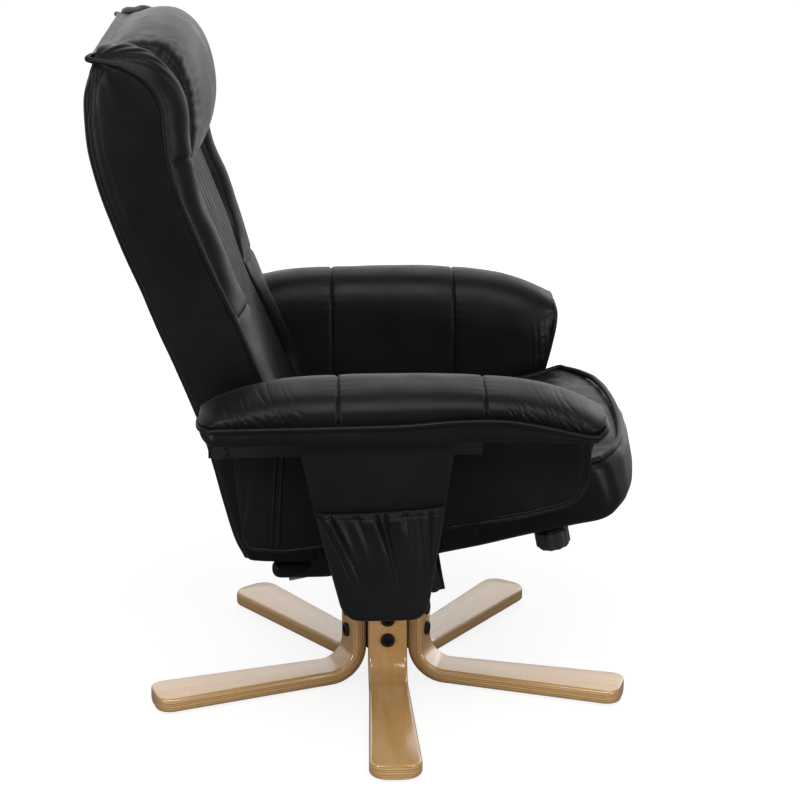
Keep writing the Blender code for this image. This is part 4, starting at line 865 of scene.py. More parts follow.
# Seat: upholstered block with a waterfall front and a piped top edge
SEAT_EDGE = 0.014
SEAT_EDGE_STEPS = 6
SEAT_MIDDLE_STEPS = 52
SEAT_CAP_STEPS = 14
SEAT_PROFILE_POINTS = 220
SEAT_CROWN = 0.022
SEAT_NOSE = 0.017
SEAT_DRAWN_IN = 0.005
SEAT_SIDE_PUFF = 0.003
SEAT_SPINE_ENDS = (SEAT_REAR + 0.05, SEAT_FRONT - 0.12)
SEAT_SPINE_Z = (0.268, 0.312, 0.355)
SEAT_TOP_LEAST_Z = 0.36
SEAT_FRONT_SEAM = 0.052
SEAT_FRONT_SEAM_DEPTH = 0.0030
SEAT_SIDE_SEAM_X = 0.118
SEAT_SIDE_SEAM_DEPTH = 0.0026
SEAT_RIPPLE = 0.021
SEAT_RIPPLE_DEPTH = 0.0011
SEAT_RIPPLE_WIDTH = 0.030
SEAT_TOP_WAVE = (0.0035, (0.13, 0.18, 0.13), 2.2)
SEAT_WAVE = (0.0012, (0.05, 0.03, 0.05), 6.1)
SEAT_FRONT_WAVE = (0.0020, (0.05, 0.16, 0.09), 3.7)
SEAT_PIPING = 0.0050
SEAT_PIPING_INSET = 0.3 * SEAT_EDGE
SEAT_PIPING_LIFT = (0.0, 0.0, 0.0015)
SEAT_CORNER_LINE = ((0.0, 0.0), (0.05, 0.0004), (0.10, 0.003), (0.15, 0.009), (0.19, 0.022), (0.22, 0.041),
                    (0.238, 0.060))
SEAT_ROOM = 0.222
SEAT_ROOM_U = (-0.1300, 0.2640)
SEAT_ROOM_N = 0.0408
SEAT_PRESSURE = 30.0
SEAT_SWELL = 0.008


def fillet(corners, steps=8):
    """Outline whose (x, z, radius) corners are rounded, in the order of its corners."""
    points = []
    for i, (x, z, radius) in enumerate(corners):
        here = np.array((x, z))
        behind = np.array(corners[i - 1][:2]) - here
        ahead = np.array(corners[(i + 1) % len(corners)][:2]) - here
        room = 0.49 * min(np.linalg.norm(behind), np.linalg.norm(ahead))
        behind, ahead = unit(behind), unit(ahead)
        reach = min(radius / math.tan(math.acos(np.clip(behind @ ahead, -1, 1)) / 2), room)
        first, last = here + behind * reach, here + ahead * reach
        for q in np.linspace(0, 1, steps):
            points.append((1 - q) ** 2 * first + 2 * q * (1 - q) * here + q ** 2 * last)
    return np.array(points)


def seat_profile():
    """Side view of the seat, anticlockwise from its rear lower corner."""
    slope = math.tan(SEAT_TILT)
    flat_end = (SEAT_FLAT_Z - SEAT_PLANE_Z) / slope
    corners = [(SEAT_REAR, SEAT_FLAT_Z, 0.014), (flat_end, SEAT_FLAT_Z, 0.060),
               (SEAT_FRONT, SEAT_PLANE_Z + SEAT_FRONT * slope, 0.048), (*SEAT_LIP, 0.018),
               (*SEAT_DIP, 0.080), (*SEAT_TOP_REAR, 0.014), (SEAT_TOP_REAR[0], SEAT_SKIRT_Z, 0.006),
               (SEAT_REAR, SEAT_SKIRT_Z, 0.010)]
    return closed(fillet(corners), SEAT_PROFILE_POINTS)


def seat_corner(y):
    """How far the front edge falls back beside the middle, in plan."""
    return np.interp(np.abs(y), *zip(*SEAT_CORNER_LINE))


def seat_room(x, z, y):
    """Keeps the space under the seat free, in which the frame and the recline lock move."""
    sin, cos = math.sin(SEAT_TILT), math.cos(SEAT_TILT)
    u, n = x * cos + (z - SEAT_PLANE_Z) * sin, (z - SEAT_PLANE_Z) * cos - x * sin
    low, high = SEAT_ROOM_U
    if abs(y) < SEAT_ROOM:
        u = np.where((u < low) & (n < 3 * SEAT_ROOM_N), low, u)
        n = np.where((u < high) & (n < SEAT_ROOM_N), SEAT_ROOM_N, n)
    return u * cos - n * sin, SEAT_PLANE_Z + u * sin + n * cos


def seat_loop(profile, y, inset):
    """The profile at a distance from the middle: crowned top, full nose, sides drawn in."""
    swell = 1 - (y / SEAT_HALF) ** 2
    mid_z = (SEAT_FLAT_Z + SEAT_LIP[1]) / 2
    x, z = (profile - inset * loop_normals(profile)).T
    top = rising(z, mid_z, SEAT_LIP[1])
    front = rising(x, SEAT_DIP[0], SEAT_FRONT)
    q = rising(x, SEAT_REAR, SEAT_FRONT)
    ahead = rising(x, 0.10, 0.30)
    drawn = SEAT_DRAWN_IN * 4 * q * (1 - q) * abs(y) / SEAT_HALF
    x = x + SEAT_NOSE * swell * front * (1 - 0.5 * top)
    x = x - seat_corner(y) * ahead ** 2 * (3 - 2 * ahead) * (0.45 + 0.55 * top)
    x, z = seat_room(x, z + SEAT_CROWN * swell * top * (1 - 0.6 * front), y)
    return np.stack([x, y - np.copysign(drawn, y), z], 1)


def seat_cap(profile, side):
    """Rings that close one side of the seat, from its edge in to a line along its middle."""
    edge = seat_loop(profile, side * SEAT_HALF, SEAT_EDGE)
    spine = edge.copy()
    low, high = SEAT_SPINE_ENDS
    spine[:, 0] = np.clip(edge[:, 0], low, high)
    spine[:, 2] = np.interp(spine[:, 0], (low, SEAT_TOP_REAR[0], high), SEAT_SPINE_Z)
    found = []
    for q in np.linspace(0, 1, SEAT_CAP_STEPS)[1:]:
        ring = edge + (spine - edge) * q
        ring[:, 1] += side * SEAT_SIDE_PUFF * (1 - (1 - q) ** 2)
        found.append(ring)
    return found


def build_seat():
    """Loops across the seat, closed at both sides, with seams, ripples beside them and wrinkles."""
    profile = seat_profile()
    edge = [(SEAT_HALF - SEAT_EDGE * (1 - math.sin(a)), SEAT_EDGE * (1 - math.cos(a)))
            for a in np.linspace(0, math.pi / 2, SEAT_EDGE_STEPS)]
    middle = np.linspace(-(SEAT_HALF - SEAT_EDGE), SEAT_HALF - SEAT_EDGE, SEAT_MIDDLE_STEPS)[1:-1]
    middle = sorted([*middle, *(sign * SEAT_ROOM * share for sign in (-1, 1) for share in (0.998, 1.002))])
    spots = [(-y, inset) for y, inset in edge[::-1]] + [(y, 0.0) for y in middle] + edge
    loops = [seat_loop(profile, y, inset) for y, inset in spots]
    points = np.array(seat_cap(profile, -1)[::-1] + loops + seat_cap(profile, 1))
    x, y, z = np.moveaxis(points, -1, 0)
    out = normals(points, True)
    top = np.clip(out[..., 2] * 1.6 - 0.4, 0, 1) * (z > SEAT_TOP_LEAST_Z)
    side = rising(np.abs(out[..., 1]), 0.5, 1)
    height = waves(points, SEAT_TOP_WAVE) * top + waves(points, SEAT_WAVE)
    lip = SEAT_LIP[0] + SEAT_NOSE * (1 - (y / SEAT_HALF) ** 2) * 0.5 - seat_corner(y)
    beside = x - lip + SEAT_FRONT_SEAM
    height += groove(beside, SEAT_FRONT_SEAM_DEPTH) * top
    ripples = np.sin(math.tau * y / SEAT_RIPPLE + 3 * field(points, 0.08, 9.3))
    height += SEAT_RIPPLE_DEPTH * hill(beside, SEAT_RIPPLE_WIDTH) * top * ripples
    height += groove(x - SEAT_SIDE_SEAM_X - 0.3 * (z - 0.30), SEAT_SIDE_SEAM_DEPTH) * side
    height += rising(x, SEAT_DIP[0], SEAT_DIP[0] + 0.04) * (1 - top) * waves(points, SEAT_FRONT_WAVE)
    piece = grid_piece("seat_cover", points + out * height[..., None], around=True)
    places, outward = mesh_arrays(piece)
    inside = rising(SEAT_HALF - 0.030 - np.abs(places[:, 1]), 0, 0.040)
    inside *= rising(places[:, 0], -0.150, -0.090) * (places[:, 2] > SEAT_DIP[1] - 0.060)
    inflate(piece, inside * rising(outward[:, 2], 0.5, 1), SEAT_PRESSURE, SEAT_SWELL)
    finish_piece(piece, "seat", LEATHER, 1)
    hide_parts("seat_cushion")


def build_seat_piping():
    """Cord along both top side edges and round the front."""
    profile = seat_profile()
    start = np.argmin(np.linalg.norm(profile - SEAT_TOP_REAR, axis=1))
    lip = np.argmax(profile[:, 1])
    edge = SEAT_HALF - SEAT_PIPING_INSET
    near = seat_loop(profile, -edge, SEAT_PIPING_INSET)[lip:start][::-1] + SEAT_PIPING_LIFT
    places = edge * np.sin(np.linspace(-1.4, 1.4, 21))
    across = [seat_loop(profile, y, 0.0)[lip] + SEAT_PIPING_LIFT for y in places]
    points = [*near[:-4:5], *across, *(near * MIRROR)[:-4:5][::-1]]
    piping("seat_piping", smooth(points, 360), "seat", SEAT_PIPING)


build_seat()
build_seat_piping()


# Armrests: rolled pad with pleats, piped hem and inner cover
ARM_INNER = 0.250
ARM_COVER = 0.262
BOARD_OUTER = 0.3683
BOARD_TOP = 0.5193
BOARD_ENDS = (-0.2453, 0.2683)
BOARD_GAP = 0.0004
PAD_OUTER = 0.372
PAD_OUTSIDE = 0.30
PAD_INSIDE = 0.285
PAD_REAR = -0.264
PAD_FRONT = 0.286
PAD_ROUND = 0.026
PAD_ROUND_STEPS = 10
PAD_TUCK = 0.96
PAD_STEP = 0.008
PLEAT_STEP = 0.0017
PAD_TOP_LINE = ((-0.264, 0.540), (-0.250, 0.547), (-0.229, 0.555), (-0.195, 0.566), (-0.128, 0.577),
                (0.008, 0.580), (0.118, 0.576), (0.185, 0.568), (0.226, 0.557), (0.262, 0.542),
                (0.291, 0.526))
PAD_HEM_LINE = ((-0.264, 0.524), (-0.128, 0.525), (0.005, 0.527), (0.079, 0.532), (0.139, 0.532),
                (0.171, 0.528), (0.205, 0.521), (0.239, 0.513), (0.266, 0.508), (0.291, 0.512))
PAD_UNDER_LINE = ((-0.264, 0.510), (-0.246, 0.5004), (0.113, 0.5004), (0.194, 0.5000), (0.261, 0.497),
                  (0.291, 0.500))
PAD_COVER_LINE = ((-0.264, 0.499), (-0.230, 0.490), (-0.205, 0.380), (-0.160, 0.374), (0.100, 0.372),
                  (0.220, 0.380), (0.262, 0.392), (0.291, 0.412))
PAD_ROLL_POINTS = 66
PAD_COVER_POINTS = 30
PAD_INSIDE_POINTS = 12
PAD_SHOWN_POINTS = PAD_ROLL_POINTS + PAD_COVER_POINTS
PAD_WAVES = ((0.0018, (0.14, 0.10, 0.10), 5.5), (0.0004, 0.04, 2.6))
INNER_DROP = 0.066
ARM_SEAMS = (-0.077, 0.121)
ARM_SEAM_RIPPLE = 0.0003
ARM_SEAM_RIPPLE_WIDTH = 0.016
REAR_PLEATS = (-0.222, -0.130, 0.0125)
FRONT_PLEATS = (0.155, 0.248, 0.0110)
PLEAT_DEPTH = 0.0060
PLEAT_LENGTH = 0.040
PLEAT_SOFT_END = 0.012
GATHER_DEPTH = 0.0026
GATHER_PITCH = 0.0115
INNER_LEAN = 0.017


def pad_control(x, solid):
    """Section of the arm pad at one place: (y, z) points from the hem up, over and down the inside."""
    lines = (PAD_TOP_LINE, PAD_HEM_LINE, PAD_UNDER_LINE, PAD_COVER_LINE)
    top, hem, under, low = (reading(line)(x) for line in lines)
    rise, span = top - hem, top - INNER_DROP - low
    roll = [(-0.0026, under), (0.0008, under + 0.0035), (0.0022, 0.5 * (under + hem)), (0.0, hem - 0.0025),
            (-0.001, hem + 0.002), (0.004, hem + 0.28 * rise), (-0.001, hem + 0.55 * rise),
            (-0.016, hem + 0.79 * rise), (-0.042, hem + 0.95 * rise)]
    roll = [(PAD_OUTER + y, z) for y, z in roll]
    roll += [(0.302, top), (0.276, top - 0.009), (0.258, top - 0.031), (ARM_INNER, top - INNER_DROP)]
    cover = [(ARM_INNER + 0.0005, low + 0.60 * span), (ARM_INNER + 0.001, low + 0.30 * span),
             (ARM_INNER + 0.002, low + 0.006), (ARM_INNER + 0.006, low), (ARM_COVER - 0.002, low + 0.004)]
    if solid:
        inside = [(ARM_COVER, under + 0.004), (0.300, under + 0.001), (0.340, under)]
    else:
        inside = [(ARM_COVER, BOARD_TOP), (0.300, BOARD_TOP), (BOARD_OUTER, BOARD_TOP)]
    return roll, cover, inside


def pad_loop(x, solid):
    """Closed section, drawn in towards its middle at the rounded ends."""
    roll, cover, inside = pad_control(x, solid)
    outer = smooth(roll + cover, PAD_SHOWN_POINTS)
    hidden = spaced(np.array([cover[-1]] + inside + [roll[0]]), PAD_INSIDE_POINTS + 2)[1:-1]
    y, z = np.vstack([outer, hidden]).T
    core_y = np.where(z < 0.48, ARM_INNER + 0.006, np.clip(y, ARM_INNER + 0.012, PAD_OUTER - 0.034))
    core_z = np.clip(z, np.minimum(z + 0.02, 0.528), 0.534)
    core_z = np.where(z < 0.50, z + np.clip(0.43 - z, 0, 0.02), core_z)
    past = max(PAD_REAR + PAD_ROUND - x, x - PAD_FRONT + PAD_ROUND, 0.0) / PAD_ROUND
    tuck = PAD_TUCK * (1 - math.sqrt(max(1 - past ** 2, 0.0)))
    return np.column_stack([np.full(len(y), x), y + (core_y - y) * tuck, z + (core_z - z) * tuck])


def pad_loops():
    """Sections along the pad: solid ends, and between them those that leave room for the board."""
    rear, front = BOARD_ENDS
    rounds = PAD_ROUND * (1 - np.sin(np.linspace(0, math.pi / 2, PAD_ROUND_STEPS)))
    middle = stations(rear, front, PAD_STEP, ARM_SEAMS, [(rear, REAR_PLEATS[1] + 0.01, PLEAT_STEP),
                                                         (FRONT_PLEATS[0] - 0.01, front, PLEAT_STEP)])
    rear_end = [pad_loop(x, True) for x in (PAD_REAR + rounds)[::-1] if x < rear - BOARD_GAP]
    front_end = [pad_loop(x, True) for x in PAD_FRONT - rounds if x > front + BOARD_GAP]
    return np.array(rear_end + [pad_loop(x, False) for x in middle] + front_end)


def build_pad(side):
    """Pad cover with pleats at both ends, two cross seams and gathers at the front of its inner side."""
    mirror = (1, SIDES[side], 1)
    points = pad_loops()
    x, y, z = np.moveaxis(points, -1, 0)
    out = normals(points, True)
    place = np.broadcast_to(np.arange(points.shape[1])[None, :] / PAD_SHOWN_POINTS, x.shape)
    shown = place < 0.985
    hem, top = reading(PAD_HEM_LINE)(x), reading(PAD_TOP_LINE)(x)
    above = z - hem
    lifted = np.clip(above / PLEAT_LENGTH, 0, 1.5)
    outside = (y > PAD_OUTSIDE) * rising(above, 0.002, 0.008)
    height = shown * waves(points, *PAD_WAVES)
    for low, high, pitch in (REAR_PLEATS, FRONT_PLEATS):
        phase = (x - low + 0.9 * above) / pitch + 0.3 * np.sin(x * 120)
        reach = 0.48 + 0.22 * np.sin(2.3 * np.floor(phase))
        pleated = bump(x, low, high, PLEAT_SOFT_END) * outside * hill(lifted, reach)
        height += PLEAT_DEPTH * creases(phase) * pleated
    for seam in ARM_SEAMS:
        height += shown * groove(x - seam) * np.where(y > PAD_OUTSIDE, rising(above, 0, 0.004), 1.0)
        height += ARM_SEAM_RIPPLE * shown * hill(x - seam, ARM_SEAM_RIPPLE_WIDTH) * np.sin(place * 190)
    inner = rising(PAD_INSIDE - y, 0, 0.02)
    gathered = rising(x, PAD_FRONT - 0.045, PAD_FRONT - 0.010) * inner * rising(top - 0.035 - z, 0, 0.03)
    height += GATHER_DEPTH * gathered * creases((x + 0.25 * z) / GATHER_PITCH)
    lean = INNER_LEAN * rising(0.50 - z, 0, 0.09) * rising(x, 0.19, 0.27) * inner
    points = points + out * height[..., None]
    points[..., 0] -= lean
    piece = grid_piece("arm_pad_cover_" + side, points * mirror, around=True, caps=True)
    finish_piece(piece, "armrest_" + side, LEATHER, 1)
    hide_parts("arm_pad_" + side)
    seen = slice(8, PAD_SHOWN_POINTS - 6)
    for number, seam in enumerate(ARM_SEAMS):
        column = np.argmin(np.abs(points[:, 10, 0] - seam))
        for label, row in (("rear", column - 3), ("front", column + 3)):
            stitches(f"arm_stitches_{side}_{number}_{label}", points[row, seen] * mirror,
                     out[row, seen] * mirror, "armrest_" + side)


def build_hem_piping(side):
    """Cord along the outer hem and round both ends of the pad."""
    hem = reading(PAD_HEM_LINE)
    along = np.linspace(PAD_REAR + 0.014, PAD_FRONT - 0.012, 46)
    line = [(x, PAD_OUTER + 0.0012, hem(x)) for x in along]
    rear = ((-0.001, 0.310, -0.002), (-0.001, 0.335, 0.0), (0.002, 0.358, 0.0))
    front = ((-0.002, 0.360, 0.002), (0.001, 0.340, 0.004), (0.001, 0.300, 0.006), (0.001, 0.268, -0.002),
             (-0.002, 0.258, -0.025))
    rear = [(PAD_REAR + x, y, hem(PAD_REAR) + z) for x, y, z in rear]
    front = [(PAD_FRONT + x, y, hem(PAD_FRONT) + z) for x, y, z in front]
    foot = [(PAD_FRONT - 0.010, 0.256, 0.45), (PAD_FRONT - 0.019, 0.256, 0.415)]
    path = smooth(rear + line + front + foot, 320) * (1, SIDES[side], 1)
    piping("arm_piping_" + side, path, "armrest_" + side)


for arm_side in SIDES:
    build_pad(arm_side)
    build_hem_piping(arm_side)


# Arm panels: upholstered boards under the pads, piped edge, a seam beside it and a zip at the rear
PANEL_INNER = 0.2625
PANEL_OUTER = 0.3016
PANEL_EDGE = 0.008
PANEL_EDGE_STEPS = 7
PANEL_FACE_STEPS = 34
PANEL_POINTS = 240
PANEL_PUFF = 0.0028
PANEL_PUFF_WIDTH = 0.016
PANEL_CORNERS = ((-0.221, 0.5025, 0.002), (-0.221, 0.470, 0.010), (-0.208, 0.325, 0.018),
                 (-0.150, 0.320, 0.040), (0.182, 0.366, 0.060), (0.273, 0.388, 0.060),
                 (0.273, 0.5025, 0.002))
PANEL_SPINE = ((-0.150, 0.415), (0.200, 0.440))
PANEL_WAVES = ((0.0010, (0.10, 0.05, 0.07), 6.6), (0.0004, 0.028, 1.9))
PANEL_SEAM = 0.0095
PANEL_SEAM_DEPTH = 0.0016
PANEL_PULL = 0.0012
PANEL_PIPING = 0.0030
PANEL_PIPING_TOP = 0.500
ZIP_ENDS = ((-0.155, 0.4990), (-0.1665, 0.3290))
ZIP_SPREAD = 0.0046
ZIP_WELT = 0.0026
ZIP_TEETH = 0.0009


def panel_face(inside):
    """Distance of the upholstered face from the chair's middle at points this far inside the edge."""
    return PANEL_OUTER - PANEL_PUFF * np.exp(-inside / PANEL_PUFF_WIDTH)


def build_panel(side):
    """Panel cover: flat edge, rounded rim and a face of rings that close on a line, and its piping."""
    mirror = (1, SIDES[side], 1)
    outline = closed(fillet(PANEL_CORNERS), PANEL_POINTS)
    inward = -loop_normals(outline)
    start = panel_face(PANEL_EDGE)
    profile = [(0.0, PANEL_INNER), (0.0, PANEL_INNER + 0.5 * (PANEL_OUTER - PANEL_INNER))]
    for angle in np.linspace(0, math.pi / 2, PANEL_EDGE_STEPS):
        profile.append((PANEL_EDGE * (1 - math.cos(angle)), start - PANEL_EDGE * (1 - math.sin(angle))))
    rows = [upright(outline + inward * inset, y) for inset, y in profile]
    edge = outline + inward * PANEL_EDGE
    spine_x = np.clip(edge[:, 0], PANEL_SPINE[0][0], PANEL_SPINE[1][0])
    spine = np.column_stack([spine_x, np.interp(spine_x, *zip(*PANEL_SPINE))])
    for q in np.linspace(0, 1, PANEL_FACE_STEPS)[1:] ** 1.25:
        ring = edge + (spine - edge) * q
        rows.append(upright(ring, panel_face(PANEL_EDGE + np.linalg.norm(ring - edge, axis=1))))
    points = np.array(rows)
    x, z = points[..., 0], points[..., 2]
    away = np.sqrt(((points[:, :, None, ::2] - outline[None, None]) ** 2).sum(-1)).min(2)
    shown = np.clip((points[..., 1] - PANEL_INNER) / 0.020 - 0.5, 0, 1)
    front = bump(x, 0.150, 0.40, 0.05) * (z < 0.497)
    sink = groove(away - PANEL_SEAM * (0.35 + 0.65 * front), PANEL_SEAM_DEPTH) * front
    pulls = np.abs(np.sin(x * 95 + 4 * field(points, 0.06, 3.3))) ** 3
    soft = waves(points, *PANEL_WAVES) - PANEL_PULL * hill(away, 0.022) * (z < 0.43) * pulls
    points[..., 1] += shown * np.minimum(sink + soft - 0.0006, 0.0004)
    piece = grid_piece("arm_panel_cover_" + side, points * mirror, around=True)
    finish_piece(piece, "armrest_" + side, LEATHER, 1)
    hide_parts("arm_panel_" + side)
    keep = outline[outline[:, 1] < PANEL_PIPING_TOP]
    first = np.argmax(np.linalg.norm(np.diff(keep, axis=0), axis=1)) + 1
    keep = np.roll(keep, -first, 0) if first < len(keep) - 1 else keep
    path = upright(keep - 0.0022 * loop_normals(keep), PANEL_OUTER - 0.0048)[2:-2]
    piping("panel_piping_" + side, path * mirror, "armrest_" + side, PANEL_PIPING)


def build_zip(name, ends, y, body, sign):
    """Two welts with a coil of teeth between them, along a line of the side view."""
    line = spaced(np.array(ends, float), 40)
    across = unit(np.array([line[-1][1] - line[0][1], line[0][0] - line[-1][0]]))
    mirror = (1, sign, 1)
    sides = (("rear", -across), ("front", across))
    for label, beside in sides:
        piping(f"{name}_welt_{label}", upright(line + ZIP_SPREAD * beside, y) * mirror, body, ZIP_WELT)
    for label, beside in sides:
        path = upright(line + ZIP_TEETH * beside, y + 0.0006) * mirror
        stitches(f"{name}_teeth_{label}", path, np.array((0.0, sign, 0.0)), body)


for arm_side, arm_sign in SIDES.items():
    build_panel(arm_side)
    build_zip("panel_zip_" + arm_side, ZIP_ENDS, PANEL_OUTER - 0.0008, "armrest_" + arm_side, arm_sign)


# Pocket on the right armrest: a hung back with a plain flap above the mouth, and a gathered bag
POCKET_BACK = 0.3578
POCKET_SKIN = 0.0026
POCKET_DEPTH = 0.0252
POCKET_MOUTH_DEPTH = 0.0150
POCKET_TOP_Z = 0.5025
POCKET_BOTTOM_Z = 0.245
POCKET_REAR_LINE = ((0.254, -0.074), (0.411, -0.1130), (0.5025, -0.1320))
POCKET_FRONT_LINE = ((0.254, 0.044), (0.411, 0.0685), (0.5025, 0.0820))
POCKET_MOUTH = (0.4045, 0.4120)
POCKET_CORNER = 0.024
POCKET_ELASTIC = 0.0085
POCKET_GATHERS = 7
POCKET_GATHER_DEPTH = 0.0075
POCKET_RUFFLES = 22
POCKET_FOOT = 0.009
POCKET_BACK_STEPS = (41, 61)
POCKET_BAG_STEPS = (265, 16, 60)
POCKET_MOUTH_SHARE = 0.11
POCKET_HANG = 0.0016
POCKET_RIPPLE = 0.0010
POCKET_RUFFLE_DEPTH = 0.0007
POCKET_STITCH_DEPTH = 0.0008
POCKET_WAVE = (0.0012, (0.06, 0.04, 0.09), 2.9)


def pocket_place(across, z):
    """X of a place across the pocket, -1 at its rear edge and 1 at its front edge."""
    rear = np.interp(z, *zip(*POCKET_REAR_LINE))
    front = np.interp(z, *zip(*POCKET_FRONT_LINE))
    up = np.clip((POCKET_BOTTOM_Z + POCKET_CORNER - z) / POCKET_CORNER, 0, 1)
    cut = POCKET_CORNER * (1 - np.sqrt(1 - up ** 2))
    return (rear + front) / 2 + across * ((front - rear) / 2 - cut)


def pocket_shell(name, across, z, inner, outer):
    """Closed sheet between two surfaces given by their distances from the chair's middle."""
    x = pocket_place(across, z)
    count, width = x.shape
    half = count * width
    points = [np.stack([x, -y, z], -1).reshape(-1, 3) for y in (outer, inner)]
    faces = grid_faces(count, width)
    faces += [tuple(half + v for v in face[::-1]) for face in faces]
    index = np.arange(half).reshape(count, width)
    rim = np.concatenate([index[0], index[1:, -1], index[-1, -2::-1], index[-2:0:-1, 0]]).tolist()
    faces += [(a, b, half + b, half + a) for a, b in zip(rim, rim[1:] + rim[:1])]
    piece = mesh_piece(name, np.vstack(points), faces)
    return finish_piece(piece, "armrest_right", POCKET_LEATHER, 1)


def build_pocket_back():
    """Thin sheet that hangs behind the bag and shows above its mouth."""
    columns, rows = POCKET_BACK_STEPS
    across, down = np.meshgrid(np.linspace(-1, 1, columns), np.linspace(0, 1, rows))
    z = POCKET_TOP_Z + (POCKET_BOTTOM_Z - POCKET_TOP_Z) * down
    bow = np.sin(math.pi * rising(down, 0, 0.5)) * (1 - across ** 2)
    hang = POCKET_HANG * np.sin(4.1 * across + 1.0) * bow
    ripple = POCKET_RIPPLE * hill(down, 0.05) * np.sin(11 * across)
    y = POCKET_BACK + np.maximum(hang + ripple, 0.0)
    flap = pocket_shell("pocket_back", across, z, y, y + POCKET_SKIN)
    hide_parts("side_pocket")


def build_pocket_bag():
    """Bag gathered by the elastic at its mouth, its folds fading downwards."""
    columns, mouth_rows, rows = POCKET_BAG_STEPS
    fine = np.concatenate([np.linspace(0, POCKET_MOUTH_SHARE, mouth_rows),
                           np.linspace(POCKET_MOUTH_SHARE, 1, rows)[1:]])
    across, down = np.meshgrid(np.linspace(-1, 1, columns), fine)
    mouth = np.interp(across, (-1, 1), POCKET_MOUTH) - 0.0020 * (1 - across ** 2)
    z = mouth + (POCKET_BOTTOM_Z - mouth) * down
    below = mouth - z
    sides = (1 - np.abs(across) ** 5) ** 0.4
    foot = np.sqrt(np.clip(1 - np.clip((POCKET_BOTTOM_Z - z) / POCKET_FOOT + 1, 0, 1) ** 2, 0, 1))
    swell = np.interp(below, (0, 0.010, 0.070, 0.17), (0.0, 0.25, 1.0, 1.0))
    depth = POCKET_MOUTH_DEPTH + (POCKET_DEPTH - POCKET_SKIN - 0.002 - POCKET_MOUTH_DEPTH) * swell
    lean = across - 2.6 * below * (1 - 0.5 * across)
    phase = POCKET_GATHERS * (lean + 1) / 2 + 0.35 * np.sin(7 * lean) + 0.15 * np.sin(17 * lean)
    reach = 0.055 + 0.030 * np.sin(2.7 * np.floor(phase) + 0.6)
    folds = np.sin(math.pi * (phase % 1)) ** 1.5 - 0.5
    folds = POCKET_GATHER_DEPTH * folds * hill(below, reach) * np.clip(below / 0.012, 0.2, 1)
    elastic = np.clip(1.4 - below / POCKET_ELASTIC, 0, 1)
    ruffles = np.sin(math.tau * POCKET_RUFFLES * across + 0.8 * np.sin(9 * across))
    folds += POCKET_RUFFLE_DEPTH * elastic * ruffles
    folds -= POCKET_STITCH_DEPTH * hill(below - POCKET_ELASTIC, 0.0020)
    front = POCKET_BACK + POCKET_SKIN + (depth + folds) * sides * foot
    points = np.stack([pocket_place(across, z), -front, z], -1)
    front = front + waves(points, POCKET_WAVE) * sides * foot
    inner = np.maximum(front - POCKET_SKIN * 0.8, POCKET_BACK + POCKET_SKIN + 0.0002)
    bag = pocket_shell("pocket_bag", across, z, inner, np.maximum(front, inner + 0.0008))
    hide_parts("side_pocket")


build_pocket_back()
build_pocket_bag()


# Stage: pale floor, soft light and the photograph's camera
CAMERA_PLACE = (-0.1156, -3.0764, 1.4109)
CAMERA_PITCH = 0.303
CAMERA_TURN = -0.0446
CAMERA_LENS = 95.99
FLOOR_SIZE = 30.0
FLOOR_GREY = (0.25, 0.25, 0.25)
WHITE = (1.0, 1.0, 1.0)
BACKDROP_GLOSS = 0.7
STUDIO_DIM = 0.08
# Name, place, target, size in metres, watts
LIGHTS = (
    ("top_light", (0.2, 1.8, 2.8), (0.0, 0.0, 0.5), (2.2, 1.6), 14.0),
    ("rear_light", (0.4, 2.8, 1.6), (0.0, 0.0, 0.2), (3.4, 1.4), 12.0),
    ("side_light", (2.3, 2.3, 1.3), (0.0, 0.0, 0.7), (1.8, 2.0), 17.0),
    ("fill_light", (0.0, -2.8, 3.8), (0.0, 0.0, 0.3), (4.5, 2.5), 145.0),
    ("low_light_rear", (-2.7, -2.3, 0.7), (-0.1, 0.0, 0.15), (1.0, 0.8), 30.0),
    ("low_light_front", (2.5, -2.5, 0.7), (0.1, 0.0, 0.15), (1.0, 0.8), 30.0),
)


def shown_white(nodes, place, low, high, least):
    """1 for camera and transmission rays; for glossy rays it grows from low to high Y of the place."""
    path = nodes.node("ShaderNodeLightPath").outputs
    y = nodes.node("ShaderNodeSeparateXYZ", {"Vector": place}).outputs["Y"]
    behind = nodes.range(y, low, high, least, BACKDROP_GLOSS, interpolation_type="SMOOTHSTEP")
    glossy = nodes.maths("MULTIPLY", path["Is Glossy Ray"], behind)
    clear = nodes.maths("MAXIMUM", path["Is Camera Ray"], path["Is Transmission Ray"])
    return nodes.maths("MAXIMUM", clear, glossy)


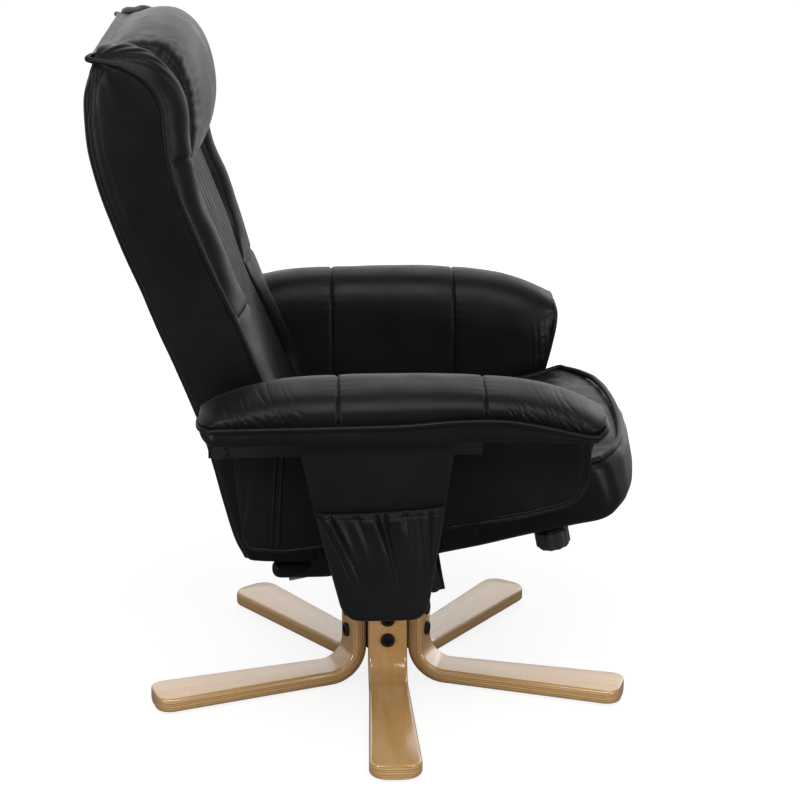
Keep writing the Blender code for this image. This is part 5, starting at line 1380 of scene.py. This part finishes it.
def build_floor():
    """White floor that keeps the chair's shadow; what the camera sees of it is lifted to white."""
    shader = principled("studio_floor", FLOOR_GREY, 0.9, Specular_IOR_Level=0.0, Emission_Color=WHITE)
    place = shader.node("ShaderNodeTexCoord").outputs["Object"]
    away = shader.node("ShaderNodeVectorMath", {0: place}, operation="LENGTH").outputs["Value"]
    spread = shader.range(away, 0.5, 1.6, 0.86, 1.0)
    shader.set(Emission_Strength=shader.maths("MULTIPLY", shown_white(shader, place, 0.4, 2.0, 0.0), spread))
    half = FLOOR_SIZE / 2
    mesh = bpy.data.meshes.new("floor")
    corners = [(-half, -half, 0), (half, -half, 0), (half, half, 0), (-half, half, 0)]
    mesh.from_pydata(corners, [], [(0, 1, 2, 3)])
    mesh.materials.append(shader.owner)
    floor = bpy.data.objects.new("floor", mesh)
    bpy.context.scene.collection.objects.link(floor)


def build_world():
    """White to the camera, a white backdrop behind the chair to glossy rays, a dim studio to the rest."""
    bpy.context.scene.world = bpy.data.worlds.new("studio")
    sky = Nodes(bpy.context.scene.world, "Background")
    place = sky.node("ShaderNodeTexCoord").outputs["Generated"]
    strength = sky.range(shown_white(sky, place, -0.1, 0.5, 0.1), 0.0, 1.0, STUDIO_DIM, 1.0)
    sky.set(Color=WHITE, Strength=strength)


def softbox(name, place, target, size, power):
    data = bpy.data.lights.new(name, "AREA")
    data.shape = "RECTANGLE"
    data.size, data.size_y = size
    data.energy = power
    light = bpy.data.objects.new(name, data)
    light.location = place
    light.rotation_euler = (Vector(target) - Vector(place)).to_track_quat("-Z", "Y").to_euler()
    bpy.context.scene.collection.objects.link(light)


def build_camera():
    data = bpy.data.cameras.new("camera")
    data.lens = CAMERA_LENS
    camera = bpy.data.objects.new("camera", data)
    x, y, z = CAMERA_PLACE
    camera.location = (x + SWIVEL_X, y, z)
    camera.rotation_euler = (math.pi / 2 - CAMERA_PITCH, 0.0, CAMERA_TURN)
    bpy.context.scene.collection.objects.link(camera)
    bpy.context.scene.camera = camera


build_floor()
build_world()
for light in LIGHTS:
    softbox(*light)
build_camera()
bpy.context.scene.view_settings.view_transform = "Standard"
